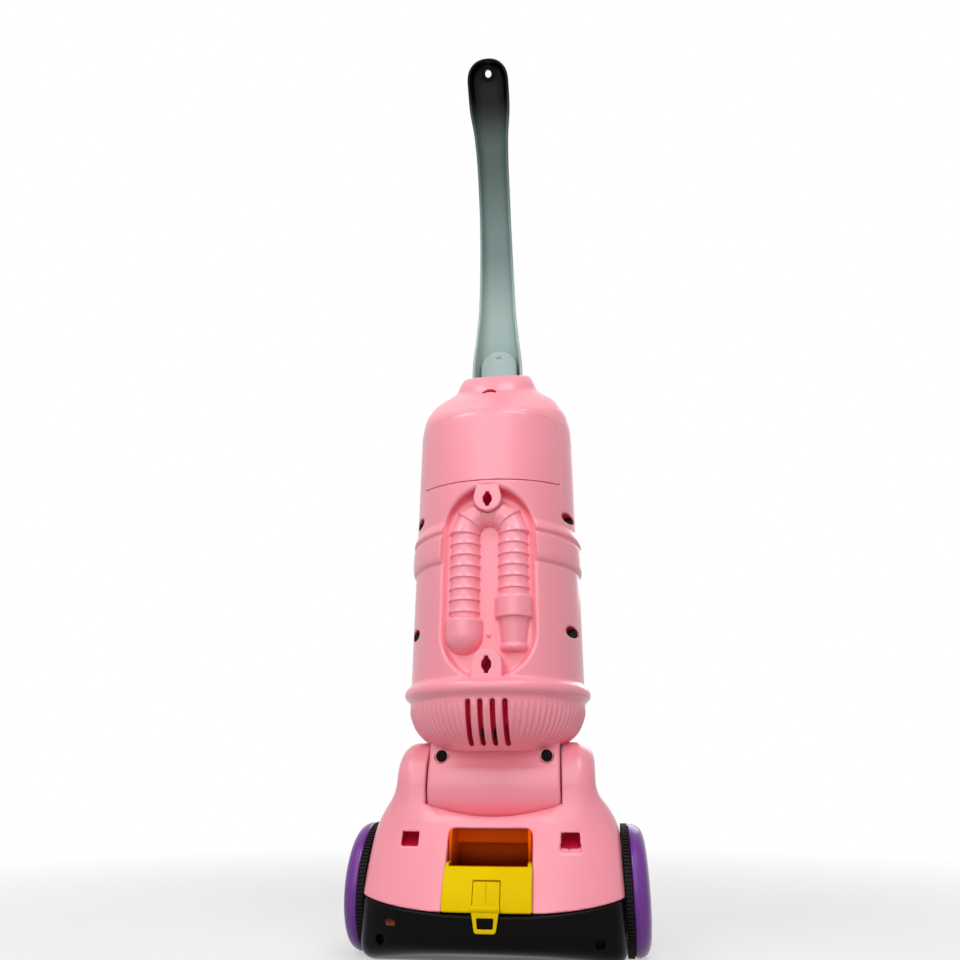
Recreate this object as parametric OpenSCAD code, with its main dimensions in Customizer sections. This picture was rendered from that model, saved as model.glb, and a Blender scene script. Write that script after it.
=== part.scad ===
// Toy upright vacuum cleaner, standing on its wheels.
// +Z is up, the back of the body faces -Y, and +X is to the right seen from the back.
// The origin is on the floor, under the middle of the whole toy.

/* [Body] */
// Outer radius of the upright body
body_r = 56; // [53:1:60]
// Wall of the moulded shells
wall = 2.4; // [2:0.1:3]
// Height of the tilt axis above the floor
hinge_z = 90; // [88:1:94]
// Underside of the bowl above the tilt axis
bowl_gap = 19; // [18:0.5:21]
// Radius of the flat floor of the bowl
bowl_floor_r = 26; // [24:1:28]
// Height of the bowl
bowl_h = 29; // [27:1:33]
// Height of the bead over the bowl
ring_h = 12; // [10:0.5:14]
// How far the bead stands out
ring_out = 3.3; // [2:0.1:4]
// Height of the straight column
column_h = 172; // [168:1:186]
// Height of the raised band
band_h = 24; // [18:1:28]
// How far the band stands out
band_out = 2; // [1:0.1:3]
// Band below the battery cover
band_drop = 30; // [26:1:34]

/* [Shoulder and collar] */
// Height of the shoulder at the sides
shoulder_h = 48; // [44:1:54]
// How much lower the shoulder ends at the back
back_drop = 18; // [14:1:22]
// How much higher the shoulder ends at the front
front_rise = 14; // [8:1:18]
// Radius where the collar leaves the shoulder
collar_r = 30.5; // [29:0.5:34]
// Radius of the collar's flat top
collar_top_r = 24.4; // [24.2:0.1:26]
// Height of the collar
collar_h = 13; // [10:1:16]

/* [Back relief] */
// Half angle of the battery cover about the back
cover_half_angle = 66; // [60:1:68]
// Height of the battery cover
cover_h = 47; // [44:1:50]
// Thickness of the battery cover
cover_t = 1.8; // [1.4:0.1:2]
// Gap round the battery cover
cover_gap = 0.3; // [0.2:0.05:0.5]
// Width of the oval recess
recess_w = 60; // [56:1:64]
// Wall between the oval recess and the battery cover
recess_drop = 6; // [5:1:10]
// Depth of the recess behind the body's surface
recess_d = 12; // [10:0.5:13]
// Spacing of the two legs of the moulded hose
hose_gap = 31; // [29:0.5:32]
// Radius of the hose between its ribs
hose_r = 9.75; // [8:0.25:10]
// Radius over the hose ribs
hose_rib_r = 11; // [10.4:0.1:11.5]
// Gap between the hose's round end and the edge of the recess
hose_end_gap = 2; // [1:0.5:4]
// Ribs on the long leg
left_ribs = 8; // [6:1:9]
// Ribs on the short leg
right_ribs = 6; // [4:1:7]
// Ribs round the bend
bend_ribs = 5; // [3:1:6]
// Width of the upper keyhole boss
boss_w = 18; // [16:0.5:20]
// Radius of the keyhole's middle
key_r = 2.9; // [2.5:0.1:3.2]
// Width of the keyhole's slot
key_slot = 2.4; // [2:0.1:2.8]
// Height of the keyhole's slot
key_h = 10; // [9:0.5:11]
// Half angle of the side screws about the back
screw_angle = 63; // [60:1:65]
// Radius of the deep screw holes
counterbore_r = 3.6; // [3.3:0.1:4]
// Number of open slots in the bowl
grille_slots = 4; // [3:1:5]
// Width of one slot
slot_w = 3; // [2.4:0.1:3.4]
// Pitch of the slots
slot_pitch = 7.3; // [6.5:0.1:7.6]
// Ribs on the back half of the bowl
bowl_ribs = 24; // [16:1:30]

/* [Hinge] */
// Radius of the hinge barrel
barrel_r = 25; // [23:0.5:26]
// Length of the hinge barrel
barrel_l = 79.4; // [76:0.2:82]
// Radius of the hinge pin
pin_r = 4; // [3:0.25:5]
// Running clearance of pin and axle
run_gap = 0.05; // [0.03:0.01:0.09]
// Clearance between moving pieces
move_gap = 0.5; // [0.4:0.05:0.7]
// Width of one ear
ear_w = 21; // [18:0.5:23]
// Depth of the neck block
neck_d = 44; // [40:1:46]

/* [Head] */
// Width of the casing between the wheels
head_w = 146; // [138:1:148]
// Front of the casing ahead of the hinge axis
head_front = 95; // [85:1:105]
// Rear of the casing behind the hinge axis
head_rear = 52; // [50:1:56]
// How far the rear bulges
rear_bulge = 28; // [20:1:32]
// How far the front bulges
front_bulge = 33; // [24:1:40]
// Lean of the rear wall from upright
rear_lean = 23; // [20:1:26]
// Height of the casing's top
casing_z = 80; // [78:1:82]
// Height of the seam over the base at the middle
seam_z = 28; // [26:1:29]
// Rise of the seam towards the wheels
seam_rise = 6; // [3:0.5:8]
// Height of the base over the floor
floor_gap = 1.2; // [0.8:0.1:2]
// Width of the bin opening
bin_w = 47.2; // [44:0.2:50]
// Height of the top of the bin opening
bin_top_z = 66; // [63:1:67]
// Height of the bin's rear lip
lip_z = 50; // [47:1:54]
// Length of the bin
bin_l = 48; // [44:1:50]
// Wall of the bin
bin_wall = 1.8; // [1.5:0.1:2.2]
// Width of the latch tab
latch_w = 14.8; // [13:0.2:16]
// Thickness of the latch tab
latch_t = 1.6; // [1.2:0.1:2]

/* [Wheels] */
// Radius over the tread
wheel_r = 34.5; // [33:0.5:36]
// Axle ahead of the hinge axis
axle_fwd = 7; // [5:0.5:9]
// Radius of the axle
axle_r = 2.5; // [2:0.1:3]
// Width of the tread
tread_w = 4; // [3:0.25:8]
// Teeth round the tread
tread_teeth = 84; // [60:1:96]
// Depth of the tread teeth
tooth_d = 0.9; // [0.6:0.1:1.2]
// How far the wheel's dome stands out of the tread
dome_w = 10.5; // [8:0.5:16]

/* [Handle] */
// Height where the handle begins to bend
bend_z = 430; // [424:1:440]
// Radius of the bend
bend_r = 330; // [310:5:360]
// Angle of the bend
bend_angle = 39; // [34:1:42]
// Wall of the handle
handle_wall = 2.2; // [1.8:0.1:2.6]
// Radius of the hang hole
hang_r = 3; // [2.5:0.1:3.5]
// Half width of the handle at the collar
handle_half_w = 20.8; // [19.4:0.1:21]
// Width of the tongue in the handle
tongue_w = 29; // [26:0.5:30]
// Height of the tongue over the collar
tongue_up = 44; // [22:1:46]

/* [Power] */
// Radius of a cell
cell_r = 7.1; // [7:0.05:7.25]
// Length of a cell
cell_l = 50; // [49.5:0.1:50.5]
// Radius of the push button
button_r = 8; // [6:0.5:9]
// Stroke of the push button
button_stroke = 2; // [1:0.25:2.5]
// Radius of the speaker
speaker_r = 11; // [9:0.5:11.5]

/* [Hidden] */
$fn = 64;

pink = [0.98, 0.62, 0.69];
grey = [0.52, 0.60, 0.59];
black = [0.05, 0.05, 0.05];
yellow = [0.97, 0.86, 0.05];
purple = [0.45, 0.20, 0.62];
steel = [0.72, 0.73, 0.75];

// one overrun for all cuts, and the gap between seated pieces
cut = 1;
seat_gap = 0.15;
// quarter arcs and lofts
arc_n = 8;
half_n = 24;

// heights on the body
z_bowl = hinge_z + bowl_gap;
z_ring = z_bowl + bowl_h;
z_col = z_ring + ring_h;
z_top = z_col + column_h;
inner_r = body_r - wall;

// battery cover
cover_below_top = 1;
cover_z1 = z_top - cover_below_top;
cover_z0 = cover_z1 - cover_h;
z_band = cover_z0 - band_drop - band_h;
ledge_t = 1.6;
ledge_w = 3;
ledge_angle = 4;

// recess and hose
recess_foot = 2;
recess_z0 = z_col + recess_foot - ring_h / 3;
recess_r = recess_w / 2;
recess_z1 = cover_z0 - recess_drop;
recess_h = recess_z1 - recess_z0;
recess_floor_y = -(body_r - recess_d);
hose_y = recess_floor_y - hose_r / 4;
hose_bend_z = recess_z1 - recess_r;
bend_path_r = hose_gap / 2;
rib_t = 2.2;
bend_rib_t = 1.5;
cuff_r = 12;
cuff_l = 21;
hose_pitch = (hose_bend_z - recess_z0 - cuff_l - cuff_r - hose_end_gap) / left_ribs;
left_run = left_ribs * hose_pitch;
right_run = right_ribs * hose_pitch;
right_cuff_l = 13;
nozzle_l = 17;
nozzle_r = 7.5;
flange_r = 9;
flange_t = 4;

// keyhole bosses
key_up_z = recess_z1 - boss_w / 2;
key_low_z = recess_z0 + boss_w / 2;
boss_y = -(body_r - wall / 2);

// body screws
screw_x = body_r * sin(screw_angle);
screw_up = 29;
screw_drop = 19;
screw_low_z = z_col + screw_up;
screw_high_z = cover_z0 - screw_drop;
screw_zs = [screw_low_z, screw_high_z];
boss_r = 5;
shank_r = 1.5;
shank_gap = 0.1;
head_r = 3.2;
head_t = 2.2;
seat_y = -14;
shank_l = 26;
front_boss_l = 15;

// speaker and grille
grille_z0 = z_bowl + bowl_h / 10;
grille_h = bowl_h - bowl_h / 6;
grille_d = body_r;
grille_back = body_r / 2;
speaker_up = 2;
speaker_z = grille_z0 + grille_h / 2 + speaker_up;
speaker_y = -38;
speaker_d = 9;
speaker_wall = 1.5;
magnet_share = 0.55;
bowl_rib_t = 1.6;
bowl_rib_out = 0.8;
bowl_rib_angle = 76;

// power parts
tray_wall = 1.5;
contact_room = 4;
contact_t = 0.5;
cell_gap = 0.25;
cells = 2;
tray_half_w = cell_l / 2 + contact_room + tray_wall;
tray_h = cells * 2 * (cell_r + cell_gap) + 2 * tray_wall;
tray_z0 = cover_z0 + (cover_h - tray_h) / 2;
cell_cover_gap = 0.85;
tray_back_y = tray_wall + cell_gap + 2 * cell_r + cell_cover_gap
    - sqrt(pow(body_r - cover_t, 2) - pow(tray_half_w, 2));
cell_y = tray_back_y - tray_wall - cell_r - cell_gap;
cell_cap_r = 2.6;
cell_cap_l = 1.2;
tray_r = inner_r - ledge_t - seat_gap;
button_drop = 24;
button_z = z_top - button_drop;
button_out = 2;
button_flange = 1.6;
button_flange_t = 2;
button_gap = 0.4;
button_l = 6;
button_y = sqrt(pow(inner_r, 2) - pow(button_r + button_flange, 2)) - button_gap;
board_w = 46;
board_h = 36;
board_t = 1.6;
board_gap = 1.2;
board_y = button_y - button_flange_t - button_stroke - board_gap - board_t;
post_r = 2.6;
post_x = board_w / 2 - post_r;
post_z = board_h / 2 - post_r;

// hinge
ear_x0 = barrel_l / 2 + move_gap;
ear_x1 = ear_x0 + ear_w;
pin_l = 2 * (ear_x0 + ear_w * 0.8);
barrel_room = barrel_r + move_gap + wall / 8;
tongue_gap = 0.3;
tongue_half_w = barrel_l / 2 - wall - tongue_gap;
tongue_d = 9;
tongue_over_pin = 3;
tongue_z0 = hinge_z + pin_r + tongue_over_pin;
neck_screw_in = 5;
neck_screw_x = tongue_half_w - neck_screw_in;
neck_screw_drop = 2.4;
neck_screw_z = z_bowl - neck_screw_drop;
neck_head_r = 3.4;
neck_head_t = 1.8;
ear_r_shares = [0.86, 0.97, 1, 0.97, 0.84, 0.62, 0.42];
ear_x_shares = [0, 0.22, 0.4, 0.66, 0.85, 0.97, 1];
bowl_clear = 0.15;

// casing
half_w = head_w / 2;
plan_out = 2;
plan_r = half_w + plan_out;
seam_gap = 0.15;
head_wall = 2.4;
slices = 24;
top_front = 18;
top_round = 9;
side_drop = 13;
side_run = 11;
win_x = 45.5;
win_w = 10.4;
win_h = 6.4;
win_z = 59;
bin_corner = 4;
bumper_out = 1;
hood_y_shares = [0.18, 0.38, 0.58, 0.76, 0.9, 0.98, 1];
hood_z_shares = [0.97, 0.88, 0.72, 0.54, 0.38, 0.2, 0];
mouth_w = 104;
mouth_d = 18;
mouth_back = 34;
mouth_y = head_front - mouth_back;
post_w = 7;
post_y = 12;
post_up = 6;
boss_x = 52;
boss_ys = [-14, 44];
head_boss_r = 4.5;
head_screw_l = 20;
runner_x = 16;
runner_t = 2;

// bin
bin_gap = 0.4;
bin_lift = 0.6;
bin_z0 = seam_z + bin_lift;
bin_half_w = bin_w / 2 - bin_gap;
bin_headroom = 5;
bin_wall_z = bin_top_z - bin_headroom;
lean = tan(rear_lean);
rail_gap = 0.35;
lip_roll_r = 1.8;
latch_gap = 0.4;
latch_drop = 7;
latch_z1 = lip_z - latch_drop;
latch_z0 = 20.6;
latch_knee_z = 30;
loop_hole_w = 7;
loop_hole_h = 4.2;
loop_bar = 2.2;

// wheels
wheel_x0 = half_w + move_gap;
tread_t = 4.6;
dome_in = 0.6;
drum_r = wheel_r - tread_t;
dome_r = wheel_r - dome_in;
dome_wall = 2.2;
hub_r = 6.5;
axle_end = 4;
axle_l = 2 * (wheel_x0 + tread_w + dome_w - axle_end);

// handle
tongue_in = 8;
handle_z0 = z_top + shoulder_h - back_drop + wall;
straight_l = bend_z - handle_z0;
arc_l = bend_r * bend_angle * PI / 180;
handle_l = straight_l + arc_l;
handle_back = 5;
tip_round = 17;
handle_n = 26;
section_n = 12;
depth_shares = [1.26, 1.22, 1.08, 0.98, 0.9, 0.88, 0.86, 0.84, 0.8, 0.78, 0.75];
square_share = 0.75;
width_at_shares = [0, 0.108, 0.196, 0.288, 0.44, 0.574, 0.71, 0.81, 0.851, 0.8825, 1];
width_shares = [1, 1, 0.886, 0.782, 0.718, 0.688, 0.693, 0.752, 0.84, 0.881, 0.885];
hang_from_tip = 9;
hang_pad_r = 6;
hang_pad_t = 3;
tongue_t = 5;
tongue_y = tongue_in - handle_back;
tongue_foot_gap = 1.9;
tongue_foot_w = 2 * (handle_half_w - handle_wall - tongue_foot_gap);
tongue_foot_h = collar_h / 2;
dimple_r = 1.6;
dimple_d = 0.8;

// the whole toy is centred over the origin from front to back
tip_back = handle_back + bend_r * (1 - cos(bend_angle));
axis_y = (tip_back - head_front) / 2;

module at_axis() translate([0, axis_y, 0]) children();

// flat outline in (X, Z), pushed along Y
module along_y(y0, y1) translate([0, y1, 0]) rotate([90, 0, 0]) linear_extrude(y1 - y0) children();

// flat outline in (Y, Z), pushed along X
module along_x(x0, x1) translate([x0, 0, 0]) rotate([90, 0, 90]) linear_extrude(x1 - x0) children();

module rod_x(r, x0, x1) translate([x0, 0, 0]) rotate([0, 90, 0]) cylinder(r = r, h = x1 - x0);

module rod_y(r, y0, y1) translate([0, y0, 0]) rotate([-90, 0, 0]) cylinder(r = r, h = y1 - y0);

module pair_x(x) for (s = [-1, 1]) translate([s * x, 0, 0]) children();

// grid of points to a closed skin: na by nb outer points, then as many inner ones
function skin_faces(na, nb) = let (m = na * nb) concat(
    [for (i = [0:na - 2], j = [0:nb - 2]) [i * nb + j, (i + 1) * nb + j, (i + 1) * nb + j + 1]],
    [for (i = [0:na - 2], j = [0:nb - 2]) [i * nb + j, (i + 1) * nb + j + 1, i * nb + j + 1]],
    [for (i = [0:na - 2], j = [0:nb - 2]) [m + i * nb + j, m + (i + 1) * nb + j + 1, m + (i + 1) * nb + j]],
    [for (i = [0:na - 2], j = [0:nb - 2]) [m + i * nb + j, m + i * nb + j + 1, m + (i + 1) * nb + j + 1]],
    [for (i = [0:na - 2]) [i * nb, m + i * nb, m + (i + 1) * nb]],
    [for (i = [0:na - 2]) [i * nb, m + (i + 1) * nb, (i + 1) * nb]],
    [for (i = [0:na - 2]) [(i + 1) * nb - 1, m + (i + 2) * nb - 1, m + (i + 1) * nb - 1]],
    [for (i = [0:na - 2]) [(i + 1) * nb - 1, (i + 2) * nb - 1, m + (i + 2) * nb - 1]]);

// edges between the outer and inner skin at both ends of the grid
function skin_ends(na, nb) = let (m = na * nb, e = (na - 1) * nb) concat(
    [for (j = [0:nb - 2]) [j, j + 1, m + j + 1]],
    [for (j = [0:nb - 2]) [j, m + j + 1, m + j]],
    [for (j = [0:nb - 2]) [e + j, m + e + j + 1, e + j + 1]],
    [for (j = [0:nb - 2]) [e + j, m + e + j, m + e + j + 1]]);

// walls that close both ends of the grid, with the rim between them
function skin_walls(na, nb) = let (m = na * nb, e = (na - 1) * nb) concat(
    [[for (j = [0:nb - 1]) j]],
    [[for (j = [0:nb - 1]) m + nb - 1 - j]],
    [[for (j = [0:nb - 1]) e + nb - 1 - j]],
    [[for (j = [0:nb - 1]) m + e + j]],
    [[0, nb - 1, m + nb - 1], [0, m + nb - 1, m]],
    [[e, m + e + nb - 1, e + nb - 1], [e, m + e, m + e + nb - 1]]);

// profile of the bowl, bead, column and band, o is the inward offset
function bowl_arc(o) = [for (i = [0:arc_n]) let (t = 90 * i / arc_n)
    [bowl_floor_r + (body_r - o - bowl_floor_r) * sin(t), z_bowl + o + (bowl_h - o) * (1 - cos(t))]];
function bead_arc() = [for (i = [1:arc_n - 1]) let (t = 180 * i / arc_n)
    [body_r + ring_out * sin(t), z_ring + ring_h * (1 - cos(t)) / 2]];
function outer_path() = concat([[0, z_bowl]], bowl_arc(0), bead_arc(), [[body_r, z_col],
    [body_r, z_band], [body_r + band_out, z_band + band_out],
    [body_r + band_out, z_band + band_h - band_out], [body_r, z_band + band_h], [body_r, z_top]]);
function inner_path() = concat([[inner_r, z_top]], [for (i = [0:arc_n]) bowl_arc(wall)[arc_n - i]],
    [[0, z_bowl + wall]]);

module half_turn(rear) rotate([0, 0, rear ? 180 : 0]) rotate_extrude(angle = 180) children();

module body_solid(grow) rotate_extrude() polygon(concat([[0, z_bowl - grow]],
    [for (p = bowl_arc(0)) [p[0] + grow, p[1] - grow]], [[body_r + grow, z_top], [0, z_top]]));

// segment of the column centred on the back
module back_segment(r0, r1, z0, z1, half_angle) rotate([0, 0, -90 - half_angle])
    rotate_extrude(angle = 2 * half_angle) polygon([[r0, z0], [r1, z0], [r1, z1], [r0, z1]]);

// shoulder and collar, a skin whose profile changes round the body
side_r_shares = [1, 0.957, 0.706, 0.31, 0];
side_z_shares = [0, 0.354, 0.667, 0.865, 1];
back_r_shares = [1, 0.96, 0.76, 0.41, 0];
back_z_shares = [0, 0.12, 0.3, 0.667, 1];
collar_r_shares = [0.97, 0.6, 0.2, 0];
collar_z_shares = [0.15, 0.65, 0.92, 1];
root = 2;
tuck = 0.2;
function round_back(phi) = -sin(phi);
function mix(a, b, t) = a + (b - a) * t;
function crease_h(c) = shoulder_h - (c > 0 ? back_drop : front_rise) * c;
function shoulder_pt(phi, k, o) = let (c = round_back(phi), b = c > 0 ? c * c : 0,
        r = mix(collar_r, body_r, mix(side_r_shares[k], back_r_shares[k], b)) - o - (k > 0 ? 0 : tuck),
        z = z_top + crease_h(c) * mix(side_z_shares[k], back_z_shares[k], b) - o * k / 8)
    [r * cos(phi), r * sin(phi), z];
function collar_pt(phi, k, o) = let (c = round_back(phi),
        r = mix(collar_top_r, collar_r, collar_r_shares[k]) - o,
        z = z_top + crease_h(c) + collar_h * collar_z_shares[k] - (k < 3 ? o / 2 : 0))
    [r * cos(phi), r * sin(phi), z];
function root_pt(phi, r) = [r * cos(phi), r * sin(phi), z_top - root];
function shoulder_row(phi, o) = concat([root_pt(phi, body_r - wall / 2 - (o > 0 ? wall / 4 : 0))],
    [for (k = [0:4]) shoulder_pt(phi, k, o)], [for (k = [0:3]) collar_pt(phi, k, o)]);
module shoulder(rear) let (n = half_n + 1, m = 10, a0 = rear ? 180 : 0,
        rows = [for (i = [0:half_n]) shoulder_row(a0 + 180 * i / half_n, 0)],
        inner = [for (i = [0:half_n]) shoulder_row(a0 + 180 * i / half_n, wall)])
    polyhedron(concat([for (q = rows) each q], [for (q = inner) each q]),
        [for (f = concat(skin_faces(n, m), skin_ends(n, m))) [f[0], f[2], f[1]]]);

module half_shell(rear) {
    half_turn(rear) polygon(concat(outer_path(), inner_path()));
    shoulder(rear);
}

// rounded oval in (X, Z)
module oval(grow) {
    for (z = [recess_z0 + recess_r, recess_z1 - recess_r]) translate([0, z]) circle(recess_r + grow);
    translate([-recess_r - grow, recess_z0 + recess_r]) square([recess_w + 2 * grow, recess_h - recess_w]);
}

module keyhole(z) translate([0, z]) {
    circle(key_r);
    translate([-key_slot / 2, -key_h / 2]) square([key_slot, key_h]);
}

// one leg of the hose, hanging from the bend
module hose_leg(ribs) {
    translate([0, 0, -ribs * hose_pitch]) cylinder(r = hose_r, h = ribs * hose_pitch);
    for (i = [0:ribs - 1]) translate([0, 0, -(i + 0.5) * hose_pitch - rib_t / 2])
        cylinder(r = hose_rib_r, h = rib_t);
}

module hose() translate([0, hose_y, hose_bend_z]) {
    rotate([90, 0, 0]) rotate_extrude(angle = 180) translate([bend_path_r, 0]) circle(hose_r);
    for (i = [1:bend_ribs]) rotate([0, -180 * i / (bend_ribs + 1), 0]) translate([bend_path_r, 0, -bend_rib_t / 2])
        cylinder(r = hose_rib_r, h = bend_rib_t);
    translate([-bend_path_r, 0, 0]) {
        hose_leg(left_ribs);
        translate([0, 0, -left_run - cuff_l]) cylinder(r = cuff_r, h = cuff_l);
        translate([0, 0, -left_run - cuff_l]) sphere(cuff_r);
    }
    translate([bend_path_r, 0, 0]) {
        hose_leg(right_ribs);
        translate([0, 0, -right_run - right_cuff_l]) cylinder(r = cuff_r, h = right_cuff_l);
        translate([0, 0, -right_run - right_cuff_l - nozzle_l])
            cylinder(r1 = nozzle_r, r2 = cuff_r, h = nozzle_l);
        translate([0, 0, -right_run - right_cuff_l - nozzle_l - flange_t]) cylinder(r = flange_r, h = flange_t);
    }
}

// bosses for the keyholes, joined to the recess floor
module key_bosses() along_y(boss_y, recess_floor_y + cut) {
    translate([-boss_w / 2, key_up_z - boss_w / 4]) square([boss_w, boss_w * 3 / 4]);
    translate([0, key_up_z - boss_w / 4]) circle(boss_w / 2);
    translate([-boss_w / 2, recess_z0]) square([boss_w, boss_w / 2]);
    translate([0, key_low_z]) circle(boss_w / 2);
}

module bowl_rib_set() intersection() {
    for (i = [0:bowl_ribs - 1])
        rotate([0, 0, -90 + bowl_rib_angle * (2 * i / (bowl_ribs - 1) - 1)])
            translate([bowl_floor_r, -bowl_rib_t / 2, z_bowl + bowl_h / 5])
                cube([body_r - bowl_floor_r + ring_out / 2, bowl_rib_t, bowl_h * 4 / 5]);
    difference() {
        body_solid(bowl_rib_out);
        body_solid(-wall / 2);
    }
}

module rear_shell() color(pink) at_axis() difference() {
    union() {
        half_shell(true);
        back_segment(inner_r - ledge_t, inner_r + wall / 2, cover_z0 - ledge_w, cover_z1 + cover_below_top,
            cover_half_angle + ledge_angle);
        intersection() {
            body_solid(0);
            along_y(-body_r, recess_floor_y + wall) oval(wall);
        }
        intersection() {
            body_solid(0);
            for (z = screw_zs) pair_x(screw_x) translate([0, 0, z]) rod_y(boss_r, -body_r, 0);
        }
        intersection() {
            body_solid(-wall / 2);
            translate([0, 0, speaker_z]) difference() {
                rod_y(speaker_r + speaker_wall, -body_r, speaker_y + speaker_wall);
                rod_y(speaker_r - speaker_wall, -body_r - cut, speaker_y + speaker_wall + cut);
            }
        }
        bowl_rib_set();
    }
    // battery opening and the seat of its cover
    back_segment(inner_r + wall - cover_t - cover_gap, body_r + cut, cover_z0 - cover_gap, cover_z1 + cover_gap,
        cover_half_angle + cover_gap);
    translate([-tray_half_w + tray_wall, -body_r - cut, tray_z0 + tray_wall])
        cube([2 * (tray_half_w - tray_wall), body_r + tray_back_y, tray_h - 2 * tray_wall]);
    // recess, with the hose and bosses left standing
    difference() {
        along_y(-body_r - band_out - cut, recess_floor_y) oval(0);
        hose();
        key_bosses();
    }
    along_y(-body_r - cut, recess_floor_y + wall + cut) keyhole(key_up_z);
    along_y(-body_r - cut, recess_floor_y + wall + cut) keyhole(key_low_z);
    for (z = screw_zs) pair_x(screw_x) translate([0, 0, z]) {
        rod_y(counterbore_r, -body_r, seat_y);
        rod_y(shank_r + shank_gap, -body_r, cut);
    }
    for (i = [0:grille_slots - 1])
        translate([(i - (grille_slots - 1) / 2) * slot_pitch, 0, 0]) along_y(-grille_d - cut, -grille_back)
            translate([-slot_w / 2, grille_z0]) square([slot_w, grille_h]);
    // snap window in the collar
    translate([0, 0, z_top + crease_h(1) + collar_h / 3]) along_y(-collar_r - cut, -collar_top_r + wall)
        translate([-slot_w, 0]) square([2 * slot_w, slot_w / 2]);
}

module front_shell() color(pink) at_axis() difference() {
    union() {
        half_shell(false);
        intersection() {
            body_solid(0);
            for (z = screw_zs) pair_x(screw_x) translate([0, 0, z]) rod_y(boss_r, 0, front_boss_l);
        }
        intersection() {
            body_solid(-wall / 2);
            for (s = [-1, 1]) pair_x(post_x) translate([0, 0, button_z + s * post_z])
                rod_y(post_r, board_y + board_t, body_r);
        }
        // tongue that stands in the neck
        difference() {
            translate([-tongue_half_w, 0, tongue_z0])
                cube([2 * tongue_half_w, tongue_d, z_bowl + bowl_h / 3 - tongue_z0]);
            pair_x(neck_screw_x) translate([0, 0, neck_screw_z])
                rod_y(shank_r + shank_gap, -cut, tongue_d + cut);
        }
    }
    for (z = screw_zs) pair_x(screw_x) translate([0, 0, z])
        rod_y(shank_r + shank_gap, -cut, shank_l + seat_y + cut);
    translate([0, 0, button_z]) rod_y(button_r + button_gap, 0, body_r + cut);
}

module battery_cover() color(pink) at_axis()
    back_segment(body_r - cover_t, body_r, cover_z0, cover_z1, cover_half_angle);

module battery_box() color(black) at_axis() intersection() {
    difference() {
        translate([-tray_half_w, -body_r, tray_z0]) cube([2 * tray_half_w, body_r + tray_back_y, tray_h]);
        translate([-tray_half_w + tray_wall, -body_r - cut, tray_z0 + tray_wall])
            cube([2 * (tray_half_w - tray_wall), body_r + tray_back_y - tray_wall + cut, tray_h - 2 * tray_wall]);
    }
    translate([0, 0, tray_z0 - cut]) cylinder(r = tray_r, h = tray_h + 2 * cut);
}

function cell_z(i) = tray_z0 + tray_wall + cell_gap + cell_r + i * 2 * (cell_r + cell_gap);

module batteries() color("goldenrod") at_axis() for (i = [0:cells - 1])
    translate([0, cell_y, cell_z(i)]) rotate([0, 0, 180 * i]) {
        rod_x(cell_r, -cell_l / 2, cell_l / 2 - cell_cap_l);
        rod_x(cell_cap_r, -cell_l / 2, cell_l / 2);
    }

module battery_contacts() color(steel) at_axis() pair_x(tray_half_w - tray_wall - contact_t / 2)
    for (i = [0:cells - 1]) translate([0, cell_y, cell_z(i)])
        translate([-contact_t / 2, -cell_r / 2, -cell_r / 2]) cube([contact_t, cell_r, cell_r]);

module circuit_board() color("darkgreen") at_axis() translate([-board_w / 2, board_y, button_z - board_h / 2])
    cube([board_w, board_t, board_h]);

module speaker() color(black) at_axis() translate([0, speaker_y + speaker_wall + seat_gap, speaker_z]) {
    rod_y(speaker_r, 0, speaker_d / 3);
    rod_y(speaker_r * magnet_share, 0, speaker_d);
}

module power_button() color(purple) at_axis() translate([0, 0, button_z]) {
    rod_y(button_r, button_y - button_flange_t, body_r + button_out);
    rod_y(button_r + button_flange, button_y - button_flange_t, button_y);
}

module body_screws() color(steel) at_axis() for (z = screw_zs) pair_x(screw_x) translate([0, 0, z]) {
    rod_y(head_r, seat_y - head_t, seat_y);
    rod_y(shank_r, seat_y - head_t, seat_y + shank_l);
}

module hinge_neck() color(pink) at_axis() difference() {
    union() {
        translate([0, 0, hinge_z]) rod_x(barrel_r, -barrel_l / 2, barrel_l / 2);
        translate([-barrel_l / 2, -neck_d / 2, hinge_z]) cube([barrel_l, neck_d, bowl_gap + bowl_h / 4]);
    }
    body_solid(bowl_clear);
    translate([-tongue_half_w - seat_gap, -seat_gap, tongue_z0 - seat_gap])
        cube([2 * (tongue_half_w + seat_gap), tongue_d + 2 * seat_gap, z_top]);
    translate([0, 0, hinge_z]) rod_x(pin_r + run_gap, -barrel_l, barrel_l);
    pair_x(neck_screw_x) translate([0, 0, neck_screw_z]) rod_y(shank_r + shank_gap, -neck_d, 0);
}

module neck_screws() color(black) at_axis() pair_x(neck_screw_x)
    translate([0, -neck_d / 2, neck_screw_z]) difference() {
        union() {
            rod_y(neck_head_r, -neck_head_t - seat_gap, -seat_gap);
            rod_y(shank_r, -neck_head_t, neck_d / 2 + tongue_d);
        }
        translate([-neck_head_r / 2, -neck_head_t - cut, -head_t / 8]) cube([neck_head_r, cut + head_t / 4, head_t / 4]);
        translate([-head_t / 8, -neck_head_t - cut, -neck_head_r / 2]) cube([head_t / 4, cut + head_t / 4, neck_head_r]);
    }

module hinge_pin() color(steel) at_axis() translate([0, 0, hinge_z]) rod_x(pin_r, -pin_l / 2, pin_l / 2);

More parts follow.
